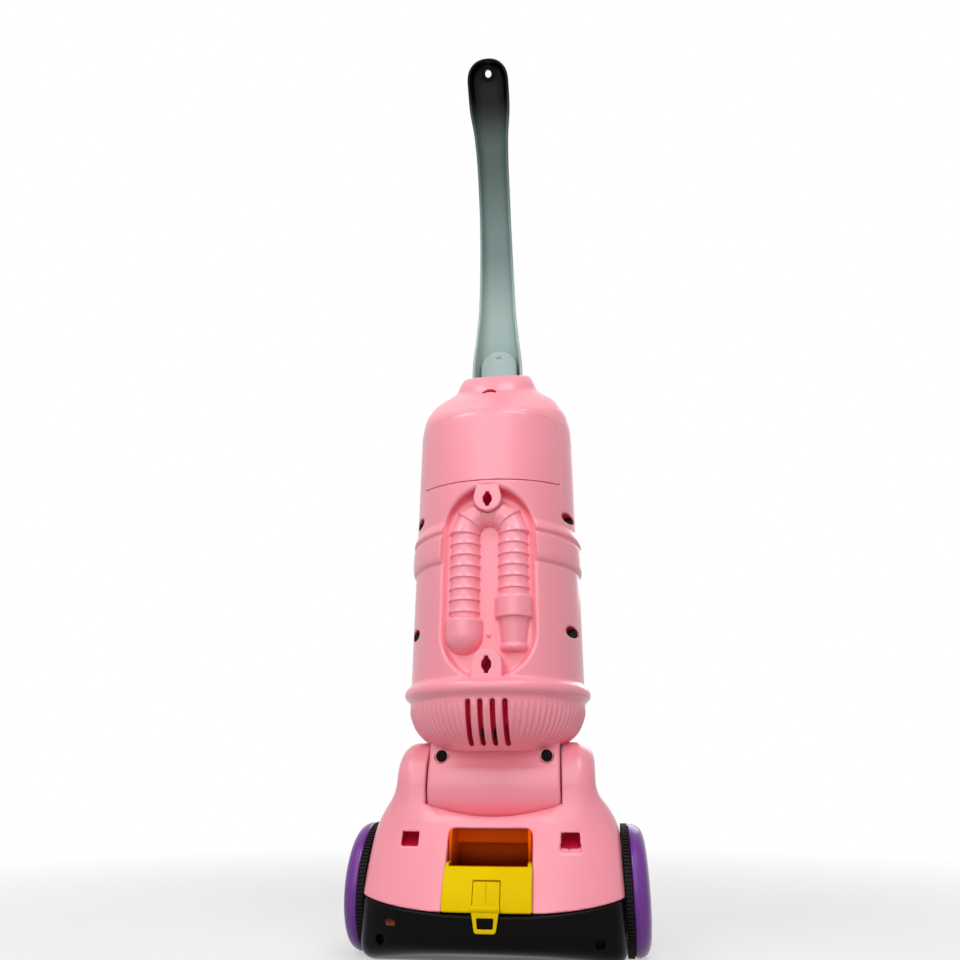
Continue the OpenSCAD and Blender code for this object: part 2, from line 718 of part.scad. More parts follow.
// plan and height of the casing at x, shared by the casing and the base
function seam_at(x) = seam_z + seam_rise * pow(abs(x) / half_w, 3);
function bow(x) = sqrt(1 - pow(x / plan_r, 2));
function rear_at(x) = -(head_rear - rear_bulge + rear_bulge * bow(x));
function front_at(x) = head_front - front_bulge + front_bulge * bow(x);
function top_at(x) = let (t = max(0, abs(x) - (half_w - side_run)) / side_run) casing_z - side_drop * t * t;
function upper_row(x, o) = let (s = x * (half_w - o) / half_w, zs = seam_at(x), h = top_at(x) - o,
        yr = rear_at(x) + o, yf = front_at(x) - o, yt = yr + lean * (h - top_round - zs))
    concat([for (t = [0, 0.3, 0.65, 1]) [s, yr + lean * t * (h - top_round - zs), mix(zs, h - top_round, t)]],
        [for (a = [30, 60, 90]) [s, yt + top_round * (1 - cos(a)) + lean * top_round / 4, h - top_round * (1 - sin(a))]],
        [[s, top_front, h]],
        [for (k = [0:6]) [s, mix(top_front, yf, hood_y_shares[k]), mix(zs, h, hood_z_shares[k])]]);
function base_row(x, o) = let (s = x * (half_w - o) / half_w, zs = seam_at(x) - seam_gap, z0 = floor_gap + o,
        yr = rear_at(x) + o, yf = front_at(x) - o, zh = zs - z0)
    [[s, yr, zs], [s, yr - bumper_out, z0 + zh * 0.8], [s, yr - bumper_out, z0 + zh * 0.35],
        [s, yr + bumper_out, z0 + zh * 0.1], [s, yr + 5 * bumper_out, z0], [s, top_front, z0],
        [s, yf - 5 * bumper_out, z0], [s, yf - bumper_out, z0 + zh * 0.12], [s, yf, z0 + zh * 0.35], [s, yf, zs]];
function roof_at(x, y) = y < top_front ? top_at(x) : mix(seam_at(x), top_at(x),
    lookup((y + head_boss_r - top_front) / (front_at(x) - top_front),
        concat([[0, 1]], [for (k = [0:6]) [hood_y_shares[k], hood_z_shares[k]]])));
function slice_x(i) = half_w * sin(90 * (2 * i / slices - 1));
module head_skin(flip, rows, inner, m) let (n = slices + 1)
    polyhedron(concat([for (q = rows) each q], [for (q = inner) each q]),
        [for (f = concat(skin_faces(n, m), skin_walls(n, m)))
            flip ? [for (k = [0:len(f) - 1]) f[len(f) - 1 - k]] : f]);

module ear_profile() polygon(concat([[ear_x0, 0]], [for (k = [0:6])
    [ear_x0 + ear_w * ear_x_shares[k], barrel_r * ear_r_shares[k]]], [[ear_x1, 0]]));

// ears turn about the hinge axis and stand on the casing
module ears() for (s = [0, 1]) mirror([s, 0, 0]) difference() {
    union() {
        translate([0, 0, hinge_z]) rotate([0, 90, 0]) rotate_extrude() rotate(90) mirror([0, 1]) ear_profile();
        translate([ear_x0, -barrel_r * ear_r_shares[0], casing_z - 2 * top_round])
            cube([ear_w * 0.85, 2 * barrel_r * ear_r_shares[0], hinge_z - casing_z + 2 * top_round]);
    }
    translate([0, 0, hinge_z]) rod_x(pin_r + run_gap, 0, ear_x0 + ear_w * 0.8 + seat_gap);
}

// opening for the bin in (X, Z)
module bin_mouth() {
    translate([-bin_w / 2, 0]) square([bin_w, bin_top_z - bin_corner]);
    translate([-bin_w / 2 + bin_corner, 0]) square([bin_w - 2 * bin_corner, bin_top_z]);
    for (s = [-1, 1]) translate([s * (bin_w / 2 - bin_corner), bin_top_z - bin_corner]) circle(bin_corner);
}

module axle_place() translate([0, axle_fwd, wheel_r]) children();

module head_upper() color(pink) at_axis() difference() {
    union() {
        difference() {
            head_skin(true, [for (i = [0:slices]) upper_row(slice_x(i), 0)],
                [for (i = [0:slices]) upper_row(slice_x(i), head_wall)], 15);
            translate([0, 0, hinge_z]) rod_x(barrel_room, -ear_x0, ear_x0);
            translate([-ear_x0, -barrel_r / 2, hinge_z - barrel_r]) cube([2 * ear_x0, barrel_room + barrel_r / 2, barrel_r]);
        }
        ears();
        for (y = boss_ys) pair_x(boss_x) translate([0, y, seam_z + head_wall])
            cylinder(r = head_boss_r, h = roof_at(boss_x, y) - seam_z - head_wall * 3 / 2);
    }
    along_y(-head_rear - cut, -barrel_r) bin_mouth();
    pair_x(win_x) along_y(-head_rear - cut, -barrel_r / 2) translate([-win_w / 2, win_z]) square([win_w, win_h]);
    for (y = boss_ys) pair_x(boss_x) translate([0, y, 0]) cylinder(r = shank_r + shank_gap, h = seam_z + head_screw_l);
    axle_place() rod_x(axle_r + move_gap, -wheel_x0, wheel_x0);
}

module head_base() color(black) at_axis() difference() {
    union() {
        head_skin(false, [for (i = [0:slices]) base_row(slice_x(i), 0)],
            [for (i = [0:slices]) base_row(slice_x(i), head_wall)], 10);
        // posts of the axle
        pair_x(half_w - 2 * post_w) translate([-post_w / 2, axle_fwd - post_y / 2, floor_gap + head_wall / 2])
            cube([post_w, post_y, wheel_r + post_up - floor_gap - head_wall / 2]);
        for (y = boss_ys) pair_x(boss_x) translate([0, y, floor_gap + head_wall / 2])
            cylinder(r = head_boss_r, h = seam_z + head_wall - seat_gap - floor_gap - head_wall / 2);
        // runners under the bin
        pair_x(runner_x) translate([-runner_t / 2, -head_rear + head_wall, floor_gap + head_wall / 2])
            cube([runner_t, bin_l, bin_z0 - rail_gap - floor_gap - head_wall / 2]);
    }
    axle_place() rod_x(axle_r + run_gap, -wheel_x0, wheel_x0);
    for (y = boss_ys) pair_x(boss_x) translate([0, y, 0]) {
        cylinder(r = shank_r + shank_gap, h = seam_z + 2 * head_wall);
        cylinder(r = counterbore_r, h = seam_z - head_screw_l / 2);
    }
    translate([-mouth_w / 2, mouth_y, 0]) cube([mouth_w, mouth_d, floor_gap + 2 * head_wall]);
}

module head_screws() color(steel) at_axis() for (y = boss_ys) pair_x(boss_x)
    translate([0, y, seam_z - head_screw_l / 2 - head_t]) {
        cylinder(r = head_r, h = head_t - seat_gap);
        cylinder(r = shank_r, h = head_screw_l);
    }

// rear line of the bin at height z
function bin_y(z) = -head_rear + lean * (z - seam_z);
bin_front = -head_rear + bin_l;

module dust_bin() color(yellow) at_axis() {
    along_x(-bin_half_w, bin_half_w) polygon([[bin_y(bin_z0), bin_z0], [bin_front, bin_z0],
        [bin_front, bin_z0 + bin_wall], [bin_y(bin_z0) + bin_wall, bin_z0 + bin_wall],
        [bin_y(lip_z) + bin_wall, lip_z], [bin_y(lip_z), lip_z]]);
    pair_x(bin_half_w - bin_wall / 2) along_x(-bin_wall / 2, bin_wall / 2) polygon([[bin_y(bin_z0), bin_z0],
        [bin_front, bin_z0], [bin_front, bin_wall_z], [bin_y(bin_wall_z), bin_wall_z]]);
    translate([-bin_half_w, bin_front - bin_wall, bin_z0]) cube([2 * bin_half_w, bin_wall, bin_wall_z - bin_z0]);
    translate([0, bin_y(lip_z) + bin_wall / 2, lip_z]) rod_x(lip_roll_r, -bin_half_w, bin_half_w);
}

// line of the latch at height z, outside the lip and the bumper
function latch_y(z) = z > latch_knee_z ? bin_y(z) - latch_gap : -head_rear - bumper_out - latch_gap;
module bin_latch() color(yellow) at_axis() difference() {
    along_x(-latch_w / 2, latch_w / 2) polygon([[latch_y(latch_z1), latch_z1], [latch_y(latch_z1) - latch_t, latch_z1],
        [latch_y(latch_knee_z) - latch_t, latch_knee_z], [latch_y(latch_knee_z) - latch_t, latch_z0],
        [latch_y(latch_knee_z), latch_z0], [latch_y(latch_knee_z), latch_knee_z]]);
    along_y(-head_rear - 2 * latch_w, -head_rear) translate([-loop_hole_w / 2, latch_z0 + loop_bar])
        square([loop_hole_w, loop_hole_h]);
    for (s = [-1, 1]) along_y(-head_rear - 2 * latch_w, -head_rear)
        polygon([[s * latch_w / 2, latch_z0 - cut], [s * latch_w * 0.38, latch_z0 - cut],
            [s * latch_w * 0.38, latch_z0], [s * latch_w / 2, latch_knee_z]]);
}

module axle() color(steel) at_axis() axle_place() rod_x(axle_r, -axle_l / 2, axle_l / 2);

// wheel in (r, h), h is the distance outwards from the inner face
dome_r_shares = [1, 1.01, 0.99, 0.93, 0.82, 0.6, 0.3, 0];
dome_h_shares = [0, 0.25, 0.5, 0.74, 0.88, 0.96, 0.99, 1];
module wheel_profile() {
    wt = tread_w + seat_gap;
    polygon(concat([[drum_r - dome_wall, 0], [drum_r, 0], [drum_r, wt]],
        [for (k = [0:7]) [dome_r * dome_r_shares[k], wt + dome_w * dome_h_shares[k]]],
        [for (k = [0:7]) [(dome_r - dome_wall) * dome_r_shares[7 - k],
            wt + (dome_w - dome_wall) * dome_h_shares[7 - k]]],
        [[drum_r - dome_wall, wt]]));
    difference() {
        square([hub_r, wt + dome_w - dome_wall / 2]);
        translate([0, -cut]) square([axle_r + run_gap, axle_l / 2 - wheel_x0 + seat_gap * 2 + cut]);
    }
}
module wheel() rotate([0, 90, 0]) rotate_extrude() wheel_profile();
function tooth_pt(i) = let (a = 360 * i / (4 * tread_teeth), q = i % 4, r = wheel_r - (q < 2 ? 0 : tooth_d))
    [r * cos(a), r * sin(a)];
module tyre() rotate([0, 90, 0]) difference() {
    linear_extrude(tread_w) polygon([for (i = [0:4 * tread_teeth - 1]) tooth_pt(i)]);
    translate([0, 0, -cut]) cylinder(r = drum_r + seat_gap, h = tread_w + 2 * cut);
}
module on_side(s) at_axis() axle_place() mirror([s < 0 ? 1 : 0, 0, 0]) translate([wheel_x0, 0, 0]) children();

module wheel_left() color(purple) on_side(-1) wheel();
module wheel_right() color(purple) on_side(1) wheel();
module tyre_left() color(black) on_side(-1) tyre();
module tyre_right() color(black) on_side(1) tyre();

// handle: rim line, half width and depth at distance s from the lower end
function handle_a(s) = s < straight_l ? 0 : (s - straight_l) / bend_r * 180 / PI;
function handle_yz(s) = s < straight_l ? [-handle_back, handle_z0 + s]
    : [-handle_back - bend_r * (1 - cos(handle_a(s))), bend_z + bend_r * sin(handle_a(s))];
function tip_fade(s) = s < handle_l - tip_round ? 1 : sqrt(max(0.002, 1 - pow((s - handle_l + tip_round) / tip_round, 2)));
function handle_hw(s) = handle_half_w * lookup(s / handle_l, [for (k = [0:10]) [width_at_shares[k], width_shares[k]]])
    * tip_fade(s);
function handle_d(s) = handle_hw(s) * lookup(s / handle_l, [for (k = [0:10]) [width_at_shares[k], depth_shares[k]]]);
function handle_pt(s, u, v) = let (p = handle_yz(s), a = handle_a(s))
    [u, p[0] + v * cos(a), p[1] + v * sin(a)];
function squared(c) = sign(c) * pow(abs(c), square_share);
function handle_row(s, o) = let (w = handle_hw(s), d = handle_d(s),
        wi = max(w - o, w / 2), di = max(d - o, d / 4))
    [for (j = [0:section_n]) let (t = 180 * j / section_n)
        o > 0 ? handle_pt(min(s, handle_l - o), wi * squared(cos(t)), di * squared(sin(t)))
              : handle_pt(s, w * squared(cos(t)), d * squared(sin(t)))];
function handle_s(i) = let (b = 18, e = handle_n - b)
    i <= b ? (handle_l - tip_round) * i / b : handle_l - tip_round + tip_round * sin(90 * (i - b) / e);
module handle_shell() color(grey) at_axis() let (n = handle_n + 1, m = section_n + 1, s = handle_l - hang_from_tip) difference() {
    union() {
        polyhedron(concat([for (i = [0:handle_n]) each handle_row(handle_s(i), 0)],
            [for (i = [0:handle_n]) each handle_row(handle_s(i), handle_wall)]),
            concat(skin_faces(n, m), skin_ends(n, m)));
        translate(handle_pt(s, 0, handle_d(s) - hang_pad_t)) rotate([handle_a(s) - 90, 0, 0])
            cylinder(r = hang_pad_r, h = hang_pad_t - handle_wall / 2);
    }
    translate(handle_pt(s, 0, 0)) rotate([handle_a(s) - 90, 0, 0])
        cylinder(r = hang_r, h = 2 * handle_half_w);
}

collar_back_z = z_top + crease_h(1) + collar_h;
module handle_tongue() color(grey) at_axis() difference() {
    along_y(tongue_y, tongue_y + tongue_t) {
        translate([-tongue_w / 2, handle_z0]) square([tongue_w, collar_back_z + tongue_up - tongue_w / 2 - handle_z0]);
        translate([0, collar_back_z + tongue_up - tongue_w / 2]) circle(tongue_w / 2);
        translate([-tongue_foot_w / 2, handle_z0]) square([tongue_foot_w, tongue_foot_h]);
    }
    translate([0, tongue_y - dimple_r + dimple_d, collar_back_z + tongue_up - tongue_w / 4]) sphere(dimple_r);
}

handle_shell();
handle_tongue();
rear_shell();
front_shell();
battery_cover();
battery_box();
batteries();
battery_contacts();
circuit_board();
speaker();
power_button();
body_screws();
hinge_neck();
neck_screws();
hinge_pin();
head_upper();
head_base();
head_screws();
dust_bin();
bin_latch();
axle();
wheel_left();
wheel_right();
tyre_left();
tyre_right();
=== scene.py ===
"""Toy upright vacuum cleaner: the looks of every piece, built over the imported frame."""
import logging
import math
from dataclasses import dataclass
from enum import Enum
from typing import Callable

import bmesh
import bpy
import numpy as np
from mathutils import Matrix, Vector


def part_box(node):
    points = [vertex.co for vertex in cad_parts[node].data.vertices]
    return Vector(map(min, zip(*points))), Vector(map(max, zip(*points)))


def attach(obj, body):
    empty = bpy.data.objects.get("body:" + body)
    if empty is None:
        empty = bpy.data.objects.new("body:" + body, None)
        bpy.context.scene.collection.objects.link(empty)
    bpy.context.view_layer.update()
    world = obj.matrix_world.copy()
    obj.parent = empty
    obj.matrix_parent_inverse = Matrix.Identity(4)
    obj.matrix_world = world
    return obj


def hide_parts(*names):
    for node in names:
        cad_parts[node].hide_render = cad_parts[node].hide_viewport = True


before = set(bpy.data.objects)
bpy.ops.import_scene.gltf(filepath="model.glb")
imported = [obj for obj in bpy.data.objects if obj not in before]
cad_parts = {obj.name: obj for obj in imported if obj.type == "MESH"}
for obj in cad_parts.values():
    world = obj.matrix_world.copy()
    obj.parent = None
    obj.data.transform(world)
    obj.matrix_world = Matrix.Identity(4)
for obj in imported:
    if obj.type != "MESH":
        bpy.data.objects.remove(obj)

LOG = logging.getLogger("toy_vacuum")
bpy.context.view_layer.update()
MM = 0.001

Arr = np.ndarray
Triple = tuple[float, float, float]
Colour = tuple[float, float, float, float]
Form = Callable[[Arr, Arr, Arr], Arr]

NOISE_MIDDLE = 0.5
SHARP_DEG = 38.0


def axis_place() -> tuple[float, float]:
    """Finds the tilt axis from the hinge pin of the frame.

    Returns:
        Y and Z of the axis in millimetres.
    """
    low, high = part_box("hinge_pin")
    return (low[1] + high[1]) / 2 / MM, (low[2] + high[2]) / 2 / MM


AXIS_Y, HINGE_Z = axis_place()


class Body(Enum):
    """Moving bodies of the frame."""

    HEAD = "head"
    UPRIGHT = "upright"
    LEFT_WHEEL = "left_wheel"
    RIGHT_WHEEL = "right_wheel"
    BIN = "bin"
    LATCH = "latch"
    BUTTON = "button"


class Slot(Enum):
    """Material slots of the record."""

    PINK = "pink"
    GREY = "grey"
    BLACK = "black"
    YELLOW = "yellow"
    PURPLE = "purple"
    TREAD = "tread"
    STEEL = "steel"
    BLACKENED = "blackened"
    CELL = "cell"
    BOARD = "board"


# ---------------------------------------------------------------- soft forms


def soft_min(a: Arr, b: Arr, k: float) -> Arr:
    """Joins two signed fields with a fillet.

    Args:
        a: First field, negative inside.
        b: Second field.
        k: Width of the fillet in millimetres.

    Returns:
        The joined field.
    """
    h = np.maximum(k - np.abs(a - b), 0.0) / k
    return np.minimum(a, b) - h * h * k * 0.25


def soft_max(a: Arr, b: Arr, k: float) -> Arr:
    """Keeps what two signed fields share, with a rounded edge (see soft_min)."""
    return -soft_min(-a, -b, k)


def carve(a: Arr, b: Arr, k: float) -> Arr:
    """Takes field b out of field a, with a rounded edge of width k."""
    return soft_max(a, -b, k)


def pill(u: Arr, v: Arr, r: float) -> Arr:
    """Rounds the outer corner of two half planes.

    Args:
        u: Distance past the first plane.
        v: Distance past the second plane.
        r: Radius of the corner.

    Returns:
        Signed distance to the rounded corner.
    """
    qu, qv = u + r, v + r
    out = np.hypot(np.maximum(qu, 0.0), np.maximum(qv, 0.0))
    return out + np.minimum(np.maximum(qu, qv), 0.0) - r


def block(x: Arr, y: Arr, z: Arr, half: Triple, r: float) -> Arr:
    """Signed distance to a box with rounded edges, centred on the origin.

    Args:
        x: X from the box's centre.
        y: Y from the box's centre.
        z: Z from the box's centre.
        half: Half sizes of the box.
        r: Radius of its edges.

    Returns:
        The field.
    """
    q = [np.abs(c) - h + r for c, h in zip((x, y, z), half)]
    out = np.sqrt(sum(np.maximum(c, 0.0) ** 2 for c in q))
    return out + np.minimum(np.maximum(np.maximum(q[0], q[1]), q[2]), 0.0) - r


def fade(v: Arr, start: float, end: float) -> Arr:
    """Goes smoothly from 0 at start to 1 at end."""
    t = np.clip((v - start) / (end - start), 0.0, 1.0)
    return t * t * (3.0 - 2.0 * t)


def spline(at: Arr, knots: Arr | tuple, values: Arr | tuple) -> Arr:
    """Smooth curve through points, which never overshoots them.

    Args:
        at: Places to read; beyond the ends the curve holds its end value.
        knots: Rising places of the points.
        values: Values of the points.

    Returns:
        The curve's values.
    """
    x, y = np.asarray(knots, float), np.asarray(values, float)
    step, rise = np.diff(x), np.diff(y) / np.diff(x)
    slope = np.r_[rise[0], np.zeros(len(x) - 2), rise[-1]]
    pair, total = rise[1:] * rise[:-1], rise[1:] + rise[:-1]
    same = pair > 0
    slope[1:-1][same] = 2 * pair[same] / total[same]
    i = np.clip(np.searchsorted(x, at) - 1, 0, len(step) - 1)
    t = np.clip((at - x[i]) / step[i], 0, 1)
    bend = slope[i] * t * (1 - t) ** 2 - slope[i + 1] * t * t * (1 - t)
    return y[i] * (1 + 2 * t) * (1 - t) ** 2 + y[i + 1] * t * t * (3 - 2 * t) + step[i] * bend


def bell_curve(half: int, reach: float) -> Arr:
    """Weights of a bell curve over 2 * half + 1 samples, which add up to 1."""
    bell = np.exp(-0.5 * (np.arange(-half, half + 1) / reach) ** 2)
    return bell / bell.sum()


def softened(row: Arr, reach: float) -> Arr:
    """Smooths a row of samples, whose end values hold past both ends; reach is in samples."""
    half = int(3 * reach) + 1
    return np.convolve(np.pad(row, half, "edge"), bell_curve(half, reach), "valid")


def smooth_middle(row: Arr, half: int, reach: float) -> None:
    """Smooths a row in place, all but the half samples at each end."""
    row[half:-half] = np.convolve(row, bell_curve(half, reach), "valid")


class SurfaceNet:
    """Turns a signed field into a closed quad mesh whose points lie on the field's surface."""

    COARSE = 4
    REACH = 2.0
    BITS = [(i, j, k) for i in (0, 1) for j in (0, 1) for k in (0, 1)]

    def __init__(self, form: Form, low: Triple, high: Triple, step: float) -> None:
        """Keeps the field and lays out its grid.

        Args:
            form: Signed field of x, y, z in millimetres.
            low: Lowest corner of the grid.
            high: Highest corner of the grid.
            step: Spacing of the grid.
        """
        self.form, self.step, self.low = form, step, np.array(low)
        blocks = np.ceil((np.array(high) - self.low) / (step * self.COARSE)).astype(int)
        self.count = blocks * self.COARSE + 1

    def _axes(self, stride: int) -> list[Arr]:
        """Places of every stride-th grid plane along each axis."""
        return [self.low[a] + self.step * np.arange(0, self.count[a], stride) for a in range(3)]

    def _sample(self) -> Arr:
        """Measures the field, finely only near its surface.

        Returns:
            Field values on the whole grid.
        """
        n = self.COARSE
        coarse = self.form(*np.meshgrid(*self._axes(n), indexing="ij"))
        near = np.full(np.array(coarse.shape) - 1, np.inf)
        for i, j, k in self.BITS:
            sx, sy, sz = near.shape
            near = np.minimum(near, np.abs(coarse[i:i + sx, j:j + sy, k:k + sz]))
        near = near < n * self.step * self.REACH
        mask = np.zeros(self.count, bool)
        mask[:-1, :-1, :-1] = near.repeat(n, 0).repeat(n, 1).repeat(n, 2)
        for axis in range(3):
            ahead, behind = [slice(None)] * 3, [slice(None)] * 3
            ahead[axis], behind[axis] = slice(1, None), slice(None, -1)
            mask[tuple(ahead)] |= mask[tuple(behind)].copy()
        values = np.where(coarse < 0, -1.0, 1.0).repeat(n, 0).repeat(n, 1).repeat(n, 2)
        values = values[:self.count[0], :self.count[1], :self.count[2]].copy()
        spots = [self.low[a] + self.step * i for a, i in enumerate(np.nonzero(mask))]
        values[mask] = self.form(*spots)
        return values

    def _points(self, values: Arr, cells: Arr) -> Arr:
        """Puts one point in each cell that the surface crosses.

        Args:
            values: Field on the grid.
            cells: Indices of the crossed cells.

        Returns:
            Points in millimetres.
        """
        total, hits = np.zeros(cells.shape), np.zeros(len(cells))
        for start in self.BITS:
            for axis in range(3):
                if start[axis]:
                    continue
                end = np.array(start)
                end[axis] = 1
                a = values[tuple((cells + start).T)]
                b = values[tuple((cells + end).T)]
                cross = (a < 0) != (b < 0)
                t = np.where(cross, a / np.where(cross, a - b, 1.0), 0.0)
                spot = np.array(start) + t[:, None] * (end - np.array(start))
                total += np.where(cross[:, None], spot, 0.0)
                hits += cross
        return self.low + self.step * (cells + total / hits[:, None])

    @staticmethod
    def _quads(inside: Arr, index: Arr) -> Arr:
        """Joins the points of the four cells round each crossed grid edge.

        Args:
            inside: True where the grid is inside the form.
            index: Number of each cell's point.

        Returns:
            Quads that face outwards.
        """
        faces = []
        for a in range(3):
            b, c = (a + 1) % 3, (a + 2) % 3
            ahead, behind = [slice(None)] * 3, [slice(None)] * 3
            ahead[a], behind[a] = slice(1, None), slice(None, -1)
            near = inside[tuple(behind)]
            spots = np.argwhere(near != inside[tuple(ahead)])
            keep = (spots[:, b] > 0) & (spots[:, c] > 0)
            keep &= (spots[:, b] < index.shape[b]) & (spots[:, c] < index.shape[c])
            spots = spots[keep]
            ring = []
            for ob, oc in ((-1, -1), (0, -1), (0, 0), (-1, 0)):
                cell = spots.copy()
                cell[:, b] += ob
                cell[:, c] += oc
                ring.append(index[tuple(cell.T)])
            quad = np.stack(ring, 1)
            out = near[tuple(spots.T)]
            faces.append(np.where(out[:, None], quad, quad[:, ::-1]))
        return np.concatenate(faces)

    def slope(self, points: Arr) -> Arr:
        """Direction in which the field grows fastest, at each point.

        Args:
            points: Points in millimetres.

        Returns:
            One direction for each point.
        """
        e, cols = self.step * 0.2, []
        for axis in range(3):
            shift = np.zeros(3)
            shift[axis] = e
            cols.append(self.form(*(points + shift).T) - self.form(*(points - shift).T))
        return np.stack(cols, 1) / (2 * e)

    def settle(self, points: Arr, rounds: int = 3) -> Arr:
        """Moves points onto the surface.

        Args:
            points: Points near the surface.
            rounds: Number of corrections.

        Returns:
            The moved points.
        """
        for _ in range(rounds):
            g = self.slope(points)
            size = np.maximum((g * g).sum(1), 0.05)
            move = g * (self.form(*points.T) / size)[:, None]
            length = np.maximum(np.linalg.norm(move, axis=1, keepdims=True), 1e-9)
            points = points - move * np.minimum(1.0, 0.5 * self.step / length)
        return points

    def build(self) -> tuple[Arr, Arr]:
        """Makes the mesh.

        Returns:
            Points in millimetres and quads.
        """
        values = self._sample()
        inside = values < 0
        sx, sy, sz = np.array(values.shape) - 1
        corners = sum(inside[i:i + sx, j:j + sy, k:k + sz].astype(np.int8) for i, j, k in self.BITS)
        cells = np.argwhere((corners > 0) & (corners < 8))
        index = np.full((sx, sy, sz), -1, np.int64)
        index[tuple(cells.T)] = np.arange(len(cells))
        points = self.settle(self._points(values, cells))
        return points, self._quads(inside, index)


# ---------------------------------------------------------------- mesh bench


class Bench:
    """Turns points and faces into objects of the scene."""

    @staticmethod
    def to_frame(points: Arr) -> Arr:
        """Millimetres about the tilt axis to metres in the frame."""
        return (np.asarray(points, float) + (0.0, AXIS_Y, 0.0)) * MM

    @staticmethod
    def to_axis(points: Arr) -> Arr:
        """Metres in the frame to millimetres about the tilt axis."""
        return np.asarray(points, float) / MM - (0.0, AXIS_Y, 0.0)

    @classmethod
    def piece(cls, name: str, points: Arr, faces: Arr | list) -> bpy.types.Object:
        """Adds a smooth mesh object.

        Args:
            name: Name of the piece.
            points: Points in millimetres about the tilt axis.
            faces: Faces as rows of point numbers.

        Returns:
            The object, at the origin.
        """
        mesh = bpy.data.meshes.new(name)
        rows = faces.tolist() if isinstance(faces, np.ndarray) else faces
        mesh.from_pydata(cls.to_frame(points).tolist(), [], rows)
        mesh.polygons.foreach_set("use_smooth", np.ones(len(mesh.polygons), bool))
        mesh.update()
        obj = bpy.data.objects.new(name, mesh)
        bpy.context.scene.collection.objects.link(obj)
        return obj

    @classmethod
    def points_of(cls, obj: bpy.types.Object) -> Arr:
        """Points of a piece in millimetres about the tilt axis.

        Args:
            obj: The piece.

        Returns:
            The points.
        """
        flat = np.empty(3 * len(obj.data.vertices))
        obj.data.vertices.foreach_get("co", flat)
        return cls.to_axis(flat.reshape(-1, 3))

    @staticmethod
    def tag(obj: bpy.types.Object, name: str, values: Arr) -> None:
        """Stores a number for each point of a piece, for its finish to read."""
        obj.data.attributes.new(name, "FLOAT", "POINT").data.foreach_set("value", values.astype(np.float32))

    @staticmethod
    def bake(obj: bpy.types.Object) -> bpy.types.Object:
        """Turns an object's modifiers into its plain mesh.

        Args:
            obj: The piece.

        Returns:
            The same object.
        """
        graph = bpy.context.evaluated_depsgraph_get()
        mesh = bpy.data.meshes.new_from_object(obj.evaluated_get(graph), depsgraph=graph)
        obj.modifiers.clear()
        old, obj.data = obj.data, mesh
        bpy.data.meshes.remove(old)
        obj.data.name = obj.name
        return obj

    @classmethod
    def moulded(cls, name: str, form: Form, low: Triple, high: Triple, step: float,
                flat_y: float | None = None) -> bpy.types.Object:
        """Moulds a field into a piece and gives it the field's own normals.

        Args:
            name: Name of the piece.
            form: Signed field.
            low: Lowest corner of the field's box.
            high: Highest corner of the field's box.
            step: Grid spacing.
            flat_y: Y of a plane that ends the piece, where the box cuts it off.

        Returns:
            The object.
        """
        net = SurfaceNet(form, low, high, step)
        points, quads = net.build()
        points = net.settle(points, 2)
        normals = net.slope(points)
        normals /= np.maximum(np.linalg.norm(normals, axis=1, keepdims=True), 1e-9)
        obj = cls.piece(name, points, quads)
        if flat_y is not None:
            cls.close_flat(obj, (flat_y + AXIS_Y) * MM)
        mesh = obj.data
        corners = np.empty(len(mesh.loops), int)
        mesh.loops.foreach_get("vertex_index", corners)
        split = normals[corners]
        for face in list(mesh.polygons)[len(quads):]:
            split[face.loop_start:face.loop_start + face.loop_total] = face.normal
        mesh.normals_split_custom_set(split.tolist())
        LOG.info("%s: %d triangles", name, sum(len(p.vertices) - 2 for p in mesh.polygons))
        return obj

    @staticmethod
    def close_flat(obj: bpy.types.Object, plane_y: float) -> None:
        """Brings the open edges of a mesh to a plane across Y and closes them there.

        Args:
            obj: The piece.
            plane_y: Y of the plane in metres.
        """
        bm = bmesh.new()
        bm.from_mesh(obj.data)
        rim = [e for e in bm.edges if e.is_boundary]
        for vert in {v for e in rim for v in e.verts}:
            vert.co.y = plane_y
        bmesh.ops.holes_fill(bm, edges=rim, sides=0)
        bm.to_mesh(obj.data)
        bm.free()
        obj.data.polygons.foreach_set("use_smooth", np.ones(len(obj.data.polygons), bool))
        obj.data.update()

    @classmethod
    def turned(cls, name: str, profile: Arr, centre: Triple, sign: float, around: int) -> bpy.types.Object:
        """Turns a closed profile about an axis along X.

        Args:
            name: Name of the piece.
            profile: Rows of radius and X, going round the profile.
            centre: Point on the axis.
            sign: 1 or -1, the way that X runs.
            around: Steps round the axis.

        Returns:
            The object.
        """
        turn = np.linspace(0, 2 * math.pi, around, endpoint=False)
        r, h = profile[:, 0], profile[:, 1]
        pts = np.stack([np.broadcast_to(sign * h[None, :], (around, len(h))),
                        np.cos(turn)[:, None] * r[None, :], np.sin(turn)[:, None] * r[None, :]], 2)
        n = len(h)
        i, j = np.meshgrid(np.arange(around), np.arange(n), indexing="ij")
        i2, j2 = (i + 1) % around, (j + 1) % n
        quads = np.stack([i * n + j, i2 * n + j, i2 * n + j2, i * n + j2], 2).reshape(-1, 4)
        obj = cls.piece(name, pts.reshape(-1, 3) + np.array(centre), quads)
        return cls.facing_out(obj)

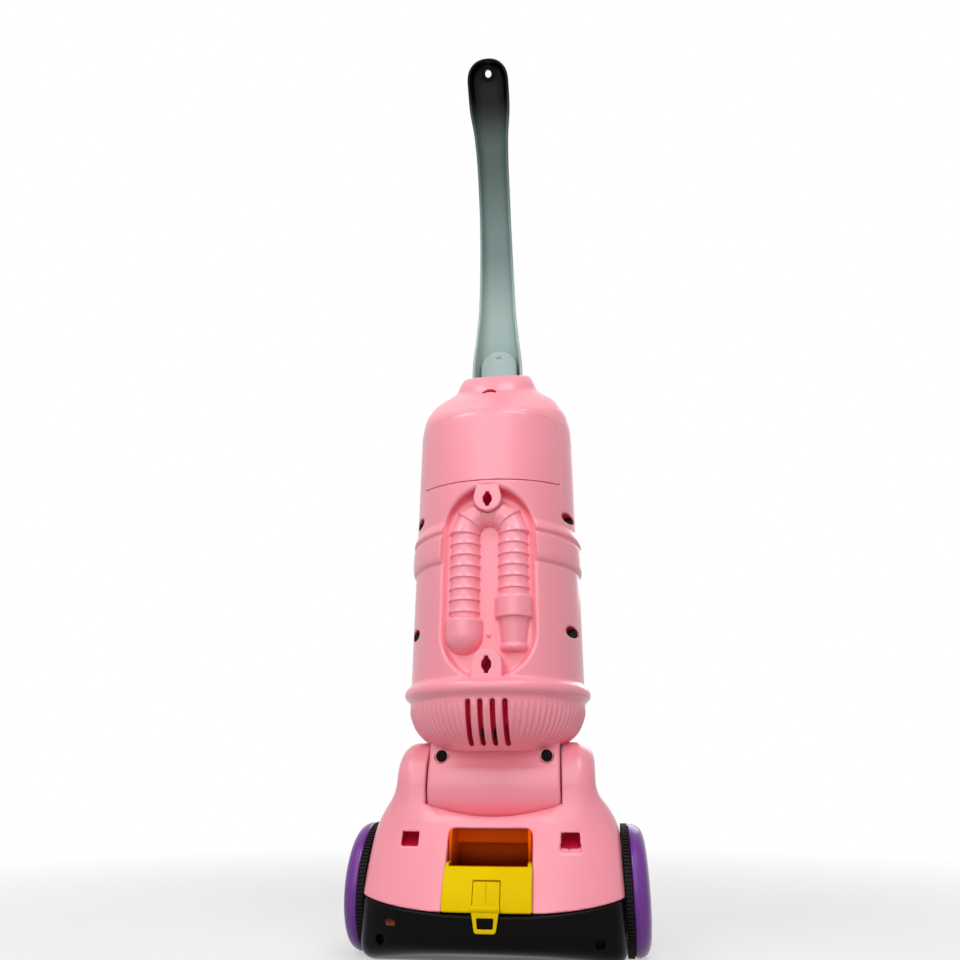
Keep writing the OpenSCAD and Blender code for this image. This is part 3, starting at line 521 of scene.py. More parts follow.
    @staticmethod
    def facing_out(obj: bpy.types.Object, merge: float = 1e-6) -> bpy.types.Object:
        """Merges doubles, turns faces outwards and marks the sharp edges.

        Args:
            obj: The piece.
            merge: Distance in metres below which points are one.

        Returns:
            The same object.
        """
        bm = bmesh.new()
        bm.from_mesh(obj.data)
        bmesh.ops.remove_doubles(bm, verts=bm.verts, dist=merge)
        bmesh.ops.dissolve_degenerate(bm, edges=bm.edges, dist=merge)
        bmesh.ops.recalc_face_normals(bm, faces=bm.faces)
        bm.to_mesh(obj.data)
        bm.free()
        obj.data.set_sharp_from_angle(angle=math.radians(SHARP_DEG))
        return obj


# ---------------------------------------------------------------- shaders


def linear(level: int) -> float:
    """Turns one 8-bit screen level into a linear one."""
    v = level / 255
    return v / 12.92 if v <= 0.04045 else ((v + 0.055) / 1.055) ** 2.4


def srgb(r: int, g: int, b: int) -> Colour:
    """Turns an 8-bit screen colour into the linear colour that shaders use."""
    return linear(r), linear(g), linear(b), 1.0


class Value:
    """A shader socket that takes part in Python sums."""

    def __init__(self, shader: "Shader", socket: bpy.types.NodeSocket) -> None:
        """Wraps an output socket of a shader."""
        self.shader, self.socket = shader, socket

    def _math(self, operation: str, a: "Value | float", b: "Value | float") -> "Value":
        """Adds a Math node and returns its result."""
        made = self.shader.node("ShaderNodeMath", {"operation": operation}, {0: a, 1: b})
        return Value(self.shader, made.outputs[0])

    def __add__(self, other: "Value | float") -> "Value":
        """Sum."""
        return self._math("ADD", self, other)

    def __sub__(self, other: "Value | float") -> "Value":
        """Difference."""
        return self._math("SUBTRACT", self, other)

    def __mul__(self, other: "Value | float") -> "Value":
        """Product."""
        return self._math("MULTIPLY", self, other)

    __radd__ = __add__

    def between(self, low: float, high: float) -> "Value":
        """Smooth step of this value from low to high.

        Args:
            low: Value that gives 0.
            high: Value that gives 1.

        Returns:
            Values from 0 to 1.
        """
        made = self.shader.node("ShaderNodeMapRange", {"interpolation_type": "SMOOTHSTEP"},
                                {"Value": self, "From Min": low, "From Max": high})
        return Value(self.shader, made.outputs["Result"])


class Shader:
    """One material and the nodes that make it."""

    def __init__(self, name: str, world: bool = False) -> None:
        """Starts a material with a Principled surface, or a world with its background.

        Args:
            name: Name of what is made.
            world: True for a world.
        """
        self.material = (bpy.data.worlds if world else bpy.data.materials).new(name)
        self.material.use_nodes = True
        self.nodes = self.material.node_tree.nodes
        self.links = self.material.node_tree.links
        self.surface = self.nodes["Background" if world else "Principled BSDF"]

    def put(self, socket: bpy.types.NodeSocket, value: object) -> None:
        """Sets or links one input socket.

        Args:
            socket: The input socket.
            value: Constant, Value or output socket.
        """
        if isinstance(value, Value):
            self.links.new(value.socket, socket)
        elif isinstance(value, bpy.types.NodeSocket):
            self.links.new(value, socket)
        else:
            socket.default_value = value

    def node(self, kind: str, settings: dict, sockets: dict) -> bpy.types.Node:
        """Adds a node.

        Args:
            kind: Blender's name of the node type.
            settings: Properties, set before the sockets.
            sockets: Values or links of its input sockets.

        Returns:
            The node.
        """
        made = self.nodes.new(kind)
        for key, value in settings.items():
            setattr(made, key, value)
        for key, value in sockets.items():
            self.put(made.inputs[key], value)
        return made

    def place(self) -> bpy.types.NodeSocket:
        """Object coordinates in metres."""
        return self.node("ShaderNodeTexCoord", {}, {}).outputs["Object"]

    def noise(self, scale: float, detail: float = 3.0, stretch: Triple = (1, 1, 1)) -> Value:
        """Smooth noise over the piece.

        Args:
            scale: Waves per metre.
            detail: Octaves.
            stretch: Scale of each axis.

        Returns:
            Values about 0.5.
        """
        spot = self.node("ShaderNodeMapping", {}, {"Vector": self.place(), "Scale": stretch})
        made = self.node("ShaderNodeTexNoise", {},
                         {"Vector": spot.outputs[0], "Scale": scale, "Detail": detail})
        return Value(self, made.outputs["Fac"])

    def mix(self, factor: Value, a: object, b: object) -> bpy.types.NodeSocket:
        """Mixes two colours by a factor."""
        made = self.node("ShaderNodeMix", {"data_type": "RGBA"}, {0: factor, 6: a, 7: b})
        return made.outputs[2]

    def attribute(self, name: str) -> Value:
        """Number that the piece stores at its points."""
        return Value(self, self.node("ShaderNodeAttribute", {"attribute_name": name}, {}).outputs["Fac"])

    def seen(self) -> Value:
        """1 for rays from the camera, from gloss and through glass, and 0 for diffuse light.

        Returns:
            The switch.
        """
        path = self.node("ShaderNodeLightPath", {}, {})
        rays = [Value(self, path.outputs[f"Is {kind} Ray"]) for kind in ("Camera", "Glossy", "Transmission")]
        return rays[0] + rays[1] + rays[2]

    def height(self, axis: int) -> Value:
        """X, Y or Z of the object coordinates in metres."""
        made = self.node("ShaderNodeSeparateXYZ", {}, {0: self.place()})
        return Value(self, made.outputs[axis])

    def finish(self, **sockets: object) -> bpy.types.Material:
        """Sets the surface's sockets, named with underscores, and returns the material.

        Args:
            sockets: Values by socket name.

        Returns:
            The material.
        """
        for key, value in sockets.items():
            self.put(self.surface.inputs[key.replace("_", " ")], value)
        return self.material

    def bump(self, height: Value, strength: float, depth: float) -> bpy.types.NodeSocket:
        """Normal of a shallow relief."""
        made = self.node("ShaderNodeBump", {}, {"Strength": strength, "Distance": depth, "Height": height})
        return made.outputs["Normal"]


@dataclass(frozen=True)
class Plastic:
    """Moulded plastic: a body colour with slight flow marks and a fine skin."""

    name: str
    colour: Colour
    deep: Colour
    rough: float = 0.34
    peel: float = 0.05
    coat: float = 0.0
    specular: float = 0.5

    FLOW = (26.0, 2.0, (1.0, 1.0, 0.35))
    FLOW_SPAN = (0.35, 0.7)
    FLOW_TINT = 0.55
    FLOW_ROUGH = 0.05
    DUST = (420.0, 4.0)
    DUST_TINT = 0.1
    DUST_RELIEF = 0.4
    SKIN = (2600.0, 2.0)
    SKIN_RELIEF = 0.6
    RELIEF_DEPTH = 0.0004
    COAT_ROUGH = 0.12

    def material(self) -> bpy.types.Material:
        """Builds the material.

        Returns:
            The material.
        """
        s = Shader(self.name)
        flow = s.noise(*self.FLOW).between(*self.FLOW_SPAN)
        dust = s.noise(*self.DUST)
        skin = s.noise(*self.SKIN)
        deep = flow * self.FLOW_TINT + dust * self.DUST_TINT
        colour = self.tint(s, s.mix(deep, self.colour, self.deep))
        rough = self.rough + (flow - NOISE_MIDDLE) * self.FLOW_ROUGH
        s.put(s.surface.inputs["Coat Weight"], self.coat)
        s.put(s.surface.inputs["Coat Roughness"], self.COAT_ROUGH)
        s.put(s.surface.inputs["Specular IOR Level"], self.specular)
        relief = skin * self.SKIN_RELIEF + dust * self.DUST_RELIEF
        return s.finish(Base_Color=colour, Roughness=rough,
                        Normal=s.bump(relief, self.peel, self.RELIEF_DEPTH))

    def tint(self, s: Shader, colour: bpy.types.NodeSocket) -> bpy.types.NodeSocket:
        """Leaves the body colour as it is."""
        return colour


@dataclass(frozen=True)
class PaintedHollowPlastic(Plastic):
    """Moulded plastic with painted light and shade in its hollows: points marked as inside take a painted
    colour, from the floor's up to the rim's.
    """

    # painted colours of a hollow: the first at its floor, the second at its rim
    painted_hollow_low: Colour = srgb(120, 34, 0)
    painted_hollow_high: Colour = srgb(236, 132, 0)
    low_z: float = 0.046
    high_z: float = 0.064
    # strength of the painted glow of the marked hollows
    glow: float = 0.06

    def tint(self, s: Shader, colour: bpy.types.NodeSocket) -> bpy.types.NodeSocket:
        """Lays the painted colour of the hollows, with a faint painted glow, over points marked as inside.

        Args:
            s: Shader of the material.
            colour: The body colour.

        Returns:
            The colour with its painted hollows.
        """
        # painted shade of the hollows: the colour runs from low_z up to high_z
        painted_hollow = s.mix(s.height(2).between(self.low_z, self.high_z), self.painted_hollow_low, self.painted_hollow_high)
        inside = s.attribute("inside")
        # painted glow: the marked points shine faintly in the painted colour
        s.put(s.surface.inputs["Emission Color"], s.mix(inside, (0.0, 0.0, 0.0, 1.0), painted_hollow))
        s.put(s.surface.inputs["Emission Strength"], self.glow)
        return s.mix(inside, colour, painted_hollow)


@dataclass(frozen=True)
class ShadedGripPlastic:
    """Grey plastic of the handle, with painted shade that darkens it towards the tip."""

    name: str
    low: Colour
    middle: Colour
    high: Colour
    tip: Colour
    shade_levels: tuple = (0.43, 0.51, 0.585, 0.622)

    FLOW = (18.0, 3.0, (1.0, 1.0, 0.3))
    FLOW_SHIFT = 0.1
    SKIN = (2200.0, 3.0)
    SKIN_RELIEF = (0.02, 0.0004)
    ROUGH = 0.36
    SPECULAR = 0.14

    def material(self) -> bpy.types.Material:
        """Builds the material.

        Returns:
            The material.
        """
        s = Shader(self.name)
        up = s.height(2)
        flow = s.noise(*self.FLOW)
        skin = s.noise(*self.SKIN)
        colour = self.low
        # painted shade: the colour steps from low through middle and high to tip as the handle rises
        for n, shade in enumerate((self.middle, self.high, self.tip)):
            level = up.between(*self.shade_levels[n:n + 2])
            colour = s.mix(level + (flow - NOISE_MIDDLE) * self.FLOW_SHIFT, colour, shade)
        rough = self.ROUGH + (flow - NOISE_MIDDLE) * self.FLOW_SHIFT
        s.put(s.surface.inputs["Specular IOR Level"], self.SPECULAR)
        return s.finish(Base_Color=colour, Roughness=rough, Normal=s.bump(skin, *self.SKIN_RELIEF))


@dataclass(frozen=True)
class Metal:
    """Turned or pressed metal with fine marks."""

    name: str
    colour: Colour
    rough: float = 0.3

    MARKS = (900.0, 4.0, (1.0, 6.0, 1.0))
    MARKS_ROUGH = 0.2
    MARKS_RELIEF = (0.08, 0.0002)
    DULL = (90.0, 2.0)
    DULL_TINT = 0.4
    DULL_SHADE = 0.6

    def material(self) -> bpy.types.Material:
        """Builds the material.

        Returns:
            The material.
        """
        s = Shader(self.name)
        marks = s.noise(*self.MARKS)
        dull = s.noise(*self.DULL)
        dark = tuple(c * self.DULL_SHADE for c in self.colour[:3]) + (1.0,)
        colour = s.mix(dull * self.DULL_TINT, self.colour, dark)
        rough = self.rough + (marks - NOISE_MIDDLE) * self.MARKS_ROUGH
        return s.finish(Base_Color=colour, Metallic=1.0, Roughness=rough,
                        Normal=s.bump(marks, *self.MARKS_RELIEF))


@dataclass(frozen=True)
class Rubber:
    """Dull tread compound with a dusty skin."""

    name: str
    colour: Colour
    dust: Colour

    GRAIN = (1500.0, 4.0)
    GRAIN_ROUGH = 0.2
    GRAIN_RELIEF = (0.15, 0.0004)
    PATCH = (70.0, 3.0)
    DUST_SPAN = (0.28, 0.55)
    DUST_TINT = 0.4
    ROUGH = 0.62
    SPECULAR = 0.15

    def material(self) -> bpy.types.Material:
        """Builds the material.

        Returns:
            The material.
        """
        s = Shader(self.name)
        grain = s.noise(*self.GRAIN)
        patch = s.noise(*self.PATCH)
        dusty = (patch * grain).between(*self.DUST_SPAN) * self.DUST_TINT
        colour = s.mix(dusty, self.colour, self.dust)
        s.put(s.surface.inputs["Specular IOR Level"], self.SPECULAR)
        rough = self.ROUGH + (grain - NOISE_MIDDLE) * self.GRAIN_ROUGH
        return s.finish(Base_Color=colour, Roughness=rough, Normal=s.bump(grain, *self.GRAIN_RELIEF))


class Finishes:
    """All finishes of the toy, each made once."""

    def __init__(self) -> None:
        """Builds the materials by their slots."""
        recipes = {
            # pink: deep crimson painted shade, with a faint painted glow, in the marked hollows of shells and
            # casing
            Slot.PINK: PaintedHollowPlastic("pink_plastic", srgb(252, 155, 170), srgb(247, 146, 162),
                                    rough=0.3, peel=0.012, coat=0.1, specular=0.5,
                                    painted_hollow_low=srgb(214, 30, 72), painted_hollow_high=srgb(214, 30, 72)),
            # grey: painted shade, lightest at the handle's foot and nearly black at its tip
            Slot.GREY: ShadedGripPlastic("grey_plastic", low=srgb(170, 190, 186), middle=srgb(123, 144, 140),
                                   high=srgb(90, 106, 103), tip=srgb(8, 8, 7)),
            # black: the walls of the base slot take a lighter brown, painted light; no glow
            Slot.BLACK: PaintedHollowPlastic("black_plastic", srgb(9, 6, 7), srgb(6, 4, 5),
                                     rough=0.2, peel=0.01, coat=0.0, specular=0.07, glow=0.0,
                                     painted_hollow_low=srgb(150, 72, 52), painted_hollow_high=srgb(150, 72, 52)),
            # yellow: the bin's inside takes painted shade, dark brown at its floor to orange at its rim, with
            # a faint painted glow
            Slot.YELLOW: PaintedHollowPlastic("yellow_plastic", srgb(238, 204, 1), srgb(230, 194, 0),
                                      rough=0.3, peel=0.01, coat=0.0, specular=0.03,
                                      painted_hollow_low=srgb(100, 14, 0), painted_hollow_high=srgb(255, 100, 0)),
            Slot.PURPLE: Plastic("purple_plastic", srgb(116, 52, 150), srgb(104, 44, 138),
                                 rough=0.26, peel=0.012, coat=0.05, specular=0.3),
            Slot.TREAD: Rubber("tread", srgb(20, 17, 18), srgb(46, 42, 43)),
            Slot.STEEL: Metal("bright_steel", srgb(196, 196, 200)),
            Slot.BLACKENED: Metal("blackened_steel", srgb(26, 22, 23), 0.35),
            Slot.CELL: Plastic("cell_sleeve", srgb(60, 62, 66), srgb(200, 140, 60), 0.3),
            Slot.BOARD: Plastic("board_lacquer", srgb(30, 96, 52), srgb(20, 76, 40), 0.4),
        }
        self.by_slot = {slot: recipe.material() for slot, recipe in recipes.items()}

    def dress(self, obj: bpy.types.Object, slot: Slot, body: Body, *nodes: str) -> None:
        """Gives a piece its finish, body and the nodes that it stands for.

        Args:
            obj: The piece.
            slot: Its finish.
            body: The body that it moves with.
            nodes: Frame nodes that it replaces.
        """
        obj.data.materials.clear()
        obj.data.materials.append(self.by_slot[slot])
        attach(obj, body.value)
        if nodes:
            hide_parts(*nodes)
        LOG.info("%s dressed in %s", obj.name, slot.value)

    def dress_node(self, node: str, slot: Slot) -> None:
        """Gives a carried-over frame node its finish.

        Args:
            node: Name of the node.
            slot: Its finish.
        """
        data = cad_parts[node].data
        data.materials.clear()
        data.materials.append(self.by_slot[slot])
        LOG.info("%s kept, in %s", node, slot.value)


# ---------------------------------------------------------------- upright body


@dataclass
class Upright:
    """Upright body: two shells, battery cover and power button. Sizes in millimetres."""

    body_r: float = 56.0
    bowl_z: float = 109.0
    bowl_round: float = 29.4
    rib_count: int = 88
    rib_up: float = 0.8
    top_z: float = 322.0
    shoulder_h: float = 48.0
    back_drop: float = 18.0
    rim_drop: float = 13.2
    front_rise: float = 14.0
    collar_r: float = 30.5
    collar_top_r: float = 24.2
    collar_h: float = 13.0
    cover_z0: float = 273.0
    cover_dip: float = 4.2
    cover_z1: float = 324.0
    cover_half: float = 56.0
    cover_t: float = 1.8
    cover_gap: float = 0.5
    recess_half: float = 28.6
    recess_z0: float = 148.0
    recess_z1: float = 268.5
    floor_y: float = -44.0
    hose_y: float = -42.8
    hose_proud: float = 1.6
    bulb_z: float = 174.6
    hose_half: float = 15.4
    hose_r: float = 9.3
    rib_out: float = 1.5
    pitch: float = 7.25
    pleat_deg: float = 34.0
    bend_z: float = 238.0
    left_ribs: int = 7
    right_ribs: int = 5
    cuff_r: float = 12.0
    boss_y: float = -55.7
    key_high: float = 259.6
    key_low: float = 155.4
    screw_x: float = 49.9
    screw_zs: tuple = (179.0, 255.0)
    bore_r: float = 3.6
    slot_pitch: float = 7.2
    slot_half: float = 1.5
    slot_deep: float = 10.0
    seam: float = 0.12
    button_z: float = 298.0
    button_r: float = 8.0
    button_in: float = 50.0
    arch_shade: float = 0.45
    arch_z: tuple = (232.0, 262.0)
    band_ends: tuple = (0.6, 2.6)
    rib_start: tuple = (112.0, 122.0)
    rib_end: tuple = (136.0, 137.4)
    rim_round: float = 3.0
    pleat_drop: float = 0.86
    leg_tail: float = 5.0
    bend_pleats: float = 3.0
    flare: float = 0.7
    flare_in: float = -0.6
    cuff_gap: float = 2.6
    bulb_round: float = 3.0
    sleeve_l: float = 15.0
    sleeve_rounds: tuple = (4.0, 1.0)
    cone_r: float = 9.9
    cone_from: float = 14.0
    cone_taper: float = 0.125
    cone_slant: float = 0.99
    cone_span: tuple = (13.0, 31.0)
    flange_r: float = 9.0
    flange_at: float = 32.4
    flange_half: float = 2.6
    flange_round: float = 3.0
    boss_up: float = 1.0
    boss_half: float = 9.0
    boss_shoulder: float = 1.0
    boss_lean: float = 0.24
    boss_top: float = 9.4
    low_boss_r: float = 9.4
    low_boss_h: float = 12.0
    boss_edge: float = 1.0
    boss_gap: float = 0.4
    boss_fillet: float = 0.3
    pip_z: float = 174.5
    pip_r: float = 1.5
    relief_sunk: float = 1.6
    key_waist: float = 0.7
    key_r: float = 2.9
    key_slot: tuple = (1.25, 5.0)
    key_fillet: float = 0.8
    key_edge: float = 0.5
    key_back: float = -70.0
    cover_corner: float = 2.8
    cover_span_deg: float = 60.0
    cover_edge: float = 0.3
    seat_slack: float = 0.35
    seat_fade: tuple = (2.0, 9.0)
    seat_deep: float = 0.4
    floor_round: float = 4.0
    recess_edge: float = 3.6
    hole_edge: float = 0.8
    snap_at: Triple = (-2.4, -29.5, 353.6)
    snap_bow: float = 0.07
    snap_half: Triple = (4.9, 6.0, 1.15)
    snap_round: float = 0.6
    slot_z: float = 123.9
    slot_h: float = 12.4
    slot_front: float = -12.0
    well_r: float = 6.5
    well_y: float = -40.0
    well_half: float = 9.0
    bore_end: float = -14.0
    socket_half: float = 21.5
    socket_deep: float = 27.2
    socket_y: float = -5.0
    socket_back: float = -5.7
    socket_z: float = 352.0
    socket_power: float = 2.6
    socket_scale: float = 20.0
    socket_edge: float = 2.0
    ring_out: float = 4.5
    ring_half: float = 1.0
    ring_y: float = 55.0
    button_edge: float = 0.9
    button_gap: float = 0.4
    button_bore_y: float = 36.0
    face_y: float = 58.0
    face_dish: float = 0.9
    dish_r: float = 6.0
    face_round: float = 1.6
    back_round: float = 0.8

    SIDE_R = (1.0, 0.93, 0.66, 0.31, 0.0)
    SIDE_Z = (0.0, 0.36, 0.7, 0.875, 1.0)
    BACK_R = (1.0, 0.96, 0.76, 0.41, 0.0)
    BACK_Z = (0.0, 0.12, 0.3, 0.667, 1.0)
    COLLAR_R = (1.0, 0.95, 0.6, 0.22, 0.0)
    COLLAR_Z = (0.0, 0.2, 0.65, 0.92, 1.0)
    TABLE_Z = (300.0, 402.0)
    BEAD_Z = (137.6, 138.6, 139.8, 141.2, 142.8, 144.4, 145.8, 147.4, 149.0)
    BEAD_OUT = (0.0, 0.7, 2.4, 3.6, 3.9, 3.7, 3.0, 1.2, 0.0)
    BAND_Z = (218.6, 219.4, 220.4, 221.4, 224.0, 229.0, 236.0,
              237.6, 238.6, 239.6, 240.6, 242.0, 244.0, 247.5)
    BAND_OUT = (0.0, -0.5, 0.2, 1.4, 2.0, 2.2, 2.1, 1.8, 0.5, 0.4, 1.9, 2.1, 1.4, 0.0)
    SWELL_Z = (130.0, 256.0)
    BEAD_REACH = 4.0
    BAND_REACH = 3.0
    CREASE_REACH = 3.6

    def __post_init__(self) -> None:
        """Works out the shoulder's radius over direction and height, and the lines of bead and band."""
        self.turns = np.linspace(-1, 1, 65)
        self.heights = np.linspace(*self.TABLE_Z, 205)
        rows = [self._shoulder_row(c) for c in self.turns]
        self.radii = np.array(rows)
        self.lean = 1 / np.sqrt(1 + np.gradient(self.radii, self.heights, axis=1) ** 2)
        self.swell = np.linspace(*self.SWELL_Z, 1009)
        self.bead = softened(np.interp(self.swell, self.BEAD_Z, self.BEAD_OUT), self.BEAD_REACH)
        self.band = softened(np.interp(self.swell, self.BAND_Z, self.BAND_OUT), self.BAND_REACH)

    def crease(self, c: Arr) -> Arr:
        """Height of the collar's foot over the column, c is 1 at the back and -1 at the front."""
        return self.shoulder_h - np.where(c > 0, self.back_drop, self.front_rise) * c

    def rim(self, c: Arr) -> Arr:
        """Height of the collar's rim, c as for its foot."""
        drop = np.where(c > 0, self.rim_drop, self.front_rise) * c
        return self.top_z + self.shoulder_h + self.collar_h - drop

    def _shoulder_row(self, c: float) -> Arr:
        """Radius of the shoulder and collar over the table's heights, towards one side.

        Args:
            c: Cosine of the turn from the back.

        Returns:
            Radii, with soft creases.
        """
        back, rise = max(c, 0.0) ** 2, float(self.crease(np.array(c)))
        share = np.array(self.SIDE_R) + (np.array(self.BACK_R) - self.SIDE_R) * back
        up = np.array(self.SIDE_Z) + (np.array(self.BACK_Z) - self.SIDE_Z) * back
        foot = self.top_z + rise
        z = np.r_[self.TABLE_Z[0], self.top_z + rise * up]
        r = np.r_[self.body_r, self.collar_r + (self.body_r - self.collar_r) * share]
        collar = self.collar_top_r + (self.collar_r - self.collar_top_r) * np.array(self.COLLAR_R)
        collar_z = foot + (self.rim(np.array(c)) - foot) * np.array(self.COLLAR_Z)
        row = np.where(self.heights < foot, spline(self.heights, z, r),
                       spline(self.heights, collar_z, collar))
        return softened(row, self.CREASE_REACH)

    def _look_up(self, table: Arr, c: Arr, z: Arr) -> Arr:
        """Reads a table of direction and height between its entries.

        Args:
            table: Table of direction and height.
            c: Cosine of the turn from the back.
            z: Z in millimetres.

        Returns:
            The values read.
        """
        u = np.clip((c + 1) / 2 * (len(self.turns) - 1), 0, len(self.turns) - 1.001)
        low, high = self.TABLE_Z
        v = np.clip((z - low) / (high - low) * (len(self.heights) - 1), 0, len(self.heights) - 1.001)
        i, j = u.astype(int), v.astype(int)
        u, v = u - i, v - j
        near = table[i, j] * (1 - v) + table[i, j + 1] * v
        far = table[i + 1, j] * (1 - v) + table[i + 1, j + 1] * v
        return near * (1 - u) + far * u

    def hull(self, x: Arr, y: Arr, z: Arr) -> Arr:
        """Outside of the body with bowl, bead, band, shoulder and collar.

        Args:
            x: X in millimetres.
            y: Y in millimetres.
            z: Z in millimetres.

        Returns:
            The field.
        """
        r = np.hypot(x, y)
        c = -y / np.maximum(r, 1.0)
        ends = np.where(y < 0, fade(self.oval(x, z), *self.band_ends), 1.0)
        out = np.interp(z, self.swell, self.bead) + np.interp(z, self.swell, self.band) * ends
        bowl = pill(r - self.body_r - out, self.bowl_z - z, self.bowl_round)
        ribs = (0.5 + 0.5 * np.cos(np.arctan2(x, -y) * self.rib_count)) ** 2
        bowl = bowl - self.rib_up * ribs * fade(z, *self.rib_start) * (1 - fade(z, *self.rib_end))
        upper = (r - out - self._look_up(self.radii, c, z)) * self._look_up(self.lean, c, z)
        top = z - self.rim(c)
        return np.maximum(bowl, soft_max(upper, top, self.rim_round))

    def oval(self, x: Arr, z: Arr) -> Arr:
        """Outline of the recess, seen from the back."""
        z0, z1 = self.recess_z0 + self.recess_half, self.recess_z1 - self.recess_half
        return np.hypot(x, z - np.clip(z, z0, z1)) - self.recess_half

    def _pleat(self, share: Arr) -> Arr:
        """Swell of a hose pleat over its share of the pitch: a slow rise and a sharp drop."""
        return self.rib_out * share ** 3 * (1 - fade(share, self.pleat_drop, 1.0))

    def _leg(self, away: Arr, along: Arr, count: int) -> Arr:
        """One straight leg of the hose.

        Args:
            away: Distance from the leg's centre line.
            along: Distance down from the bend.
            count: Number of pleats.

        Returns:
            The field.
        """
        turn = along / self.pitch
        share = np.where(along < count * self.pitch, turn - np.floor(turn), 0.0)
        tube = away - self.hose_r - self._pleat(share)
        return np.maximum(tube, np.maximum(-along, along - count * self.pitch - self.leg_tail))

    def hose(self, x: Arr, y: Arr, z: Arr) -> Arr:
        """Moulded hose: bend, two ribbed legs, cuffs and nozzle.

        Args:
            x: X in millimetres.
            y: Y in millimetres.
            z: Z in millimetres.

        Returns:
            The field.
        """
        out = y - self.hose_y
        along = self.bend_z - z
        left = np.hypot(x + self.hose_half, out)
        right = np.hypot(x - self.hose_half, out)
        reach = np.hypot(x, along)
        step = math.radians(self.pleat_deg)
        turn = (np.abs(np.arctan2(x, -along)) - math.pi / 2) / step + self.bend_pleats
        outer = np.clip((reach - self.hose_half) / self.hose_r, self.flare_in, 1.0)
        swell = self._pleat(turn - np.floor(turn)) * (1 + self.flare * outer)
        ring = np.hypot(reach - self.hose_half, out) - self.hose_r - swell
        form = np.maximum(ring, along)
        end = self.left_ribs * self.pitch + self.cuff_gap
        deep = np.maximum(self.bulb_z - z, 0)
        bulb = soft_max(np.hypot(left, deep) - self.cuff_r, end - along, self.bulb_round)
        form = np.minimum(np.minimum(form, self._leg(left, along, self.left_ribs)), bulb)
        low = along - self.right_ribs * self.pitch - self.cuff_gap
        top_round, low_round = self.sleeve_rounds
        sleeve = soft_max(soft_max(right - self.cuff_r, -low, top_round), low - self.sleeve_l, low_round)
        first, last = self.cone_span
        cone_r = self.cone_r - (low - self.cone_from) * self.cone_taper
        cone = np.maximum((right - cone_r) * self.cone_slant, np.maximum(first - low, low - last))
        flange = soft_max(right - self.flange_r, np.abs(low - self.flange_at) - self.flange_half,
                          self.flange_round)
        form = np.minimum(form, self._leg(right, along, self.right_ribs))
        return np.minimum(form, np.minimum(np.minimum(sleeve, cone), flange))

    def bosses(self, x: Arr, y: Arr, z: Arr) -> Arr:
        """Two bosses of the keyholes, seen from the back.

        Args:
            x: X in millimetres.
            y: Y in millimetres.
            z: Z in millimetres.

        Returns:
            The field.
        """
        up = z - self.key_high - self.boss_up
        side = np.abs(x) - self.boss_half + np.maximum(up - self.boss_shoulder, 0) * self.boss_lean
        upper = np.where(up > 0, np.maximum(side, up - self.boss_top), np.hypot(x, up) - self.boss_half)
        up = z - self.key_low
        foot = np.maximum(np.abs(x) - self.low_boss_r, -up - self.low_boss_h)
        lower = np.where(up > 0, np.hypot(x, up) - self.low_boss_r, foot)
        return soft_max(np.minimum(upper, lower), self.boss_y - y, self.boss_edge)

    def relief_form(self, x: Arr, y: Arr, z: Arr) -> Arr:
        """Hose and keyhole bosses that stand on the floor of the recess.

        Args:
            x: X in millimetres.
            y: Y in millimetres.
            z: Z in millimetres.

        Returns:
            The field.
        """
        boss = self.bosses(x, y, z)
        hose = carve(self.hose(x, y, z), boss - self.boss_gap, self.boss_gap)
        form = soft_min(hose, boss, self.boss_fillet)
        pip = np.sqrt(x * x + (y - self.floor_y) ** 2 + (z - self.pip_z) ** 2) - self.pip_r
        form = np.minimum(form, pip)
        for up in (self.key_high, self.key_low):
            form = carve(form, np.maximum(self.keyhole(x, z - up), self.key_back - y), self.key_edge)
        limit = self.hull(x, y, z) - self.hose_proud
        return np.maximum(np.maximum(form, y - self.floor_y - self.relief_sunk), limit)

    def keyhole(self, x: Arr, z: Arr) -> Arr:
        """Lens with a slot above and below, about its middle.

        Args:
            x: X in millimetres.
            z: Z in millimetres.

        Returns:
            The field.
        """
        lens = np.hypot(x, np.maximum(np.abs(z) - self.key_waist, 0)) - self.key_r
        slot = np.maximum(np.abs(x) - self.key_slot[0], np.abs(z) - self.key_slot[1])
        return soft_min(lens, slot, self.key_fillet)

    def cover_field(self, x: Arr, y: Arr, z: Arr, low: float, side: Arr | float) -> Arr:
        """Outline of the battery cover on the body's surface.

        Args:
            x: X in millimetres.
            y: Y in millimetres.
            z: Z in millimetres.
            low: Growth at the lower edge.
            side: Growth at the sides and the top.

        Returns:
            The field.
        """
        turn = np.abs(np.arctan2(x, -y))
        edge = self.cover_low(x, y)
        over = turn * self.body_r - math.radians(self.cover_half) * self.body_r - side
        return pill(over, np.maximum(edge - z - low, z - self.cover_z1 - side), self.cover_corner)

    def cover_low(self, x: Arr, y: Arr) -> Arr:
        """Height of the cover's lower edge, which rises towards both sides."""
        turn = np.abs(np.arctan2(x, -y)) / math.radians(self.cover_span_deg)
        return self.cover_z0 + self.cover_dip * turn ** 2

    def rear_form(self, x: Arr, y: Arr, z: Arr) -> Arr:
        """Rear shell with its recess and holes.

        Args:
            x: X in millimetres.
            y: Y in millimetres.
            z: Z in millimetres.

        Returns:
            The field.
        """
        hull = self.hull(x, y, z)
        up = fade(z - self.cover_low(x, y), *self.seat_fade)
        side = self.cover_gap - (self.cover_gap + self.seat_slack) * up
        seat = np.maximum(self.cover_field(x, y, z, self.cover_gap, side),
                          self.body_r - self.cover_t - self.seat_deep - np.hypot(x, y))
        form = carve(hull, seat, self.seat_deep)
        recess = soft_max(self.oval(x, z), y - self.floor_y, self.floor_round)
        form = carve(form, recess, self.recess_edge)
        form = carve(form, self.holes(x, y, z, hull), self.hole_edge)
        return carve(form, self.socket_room(x, y, z), self.socket_edge)

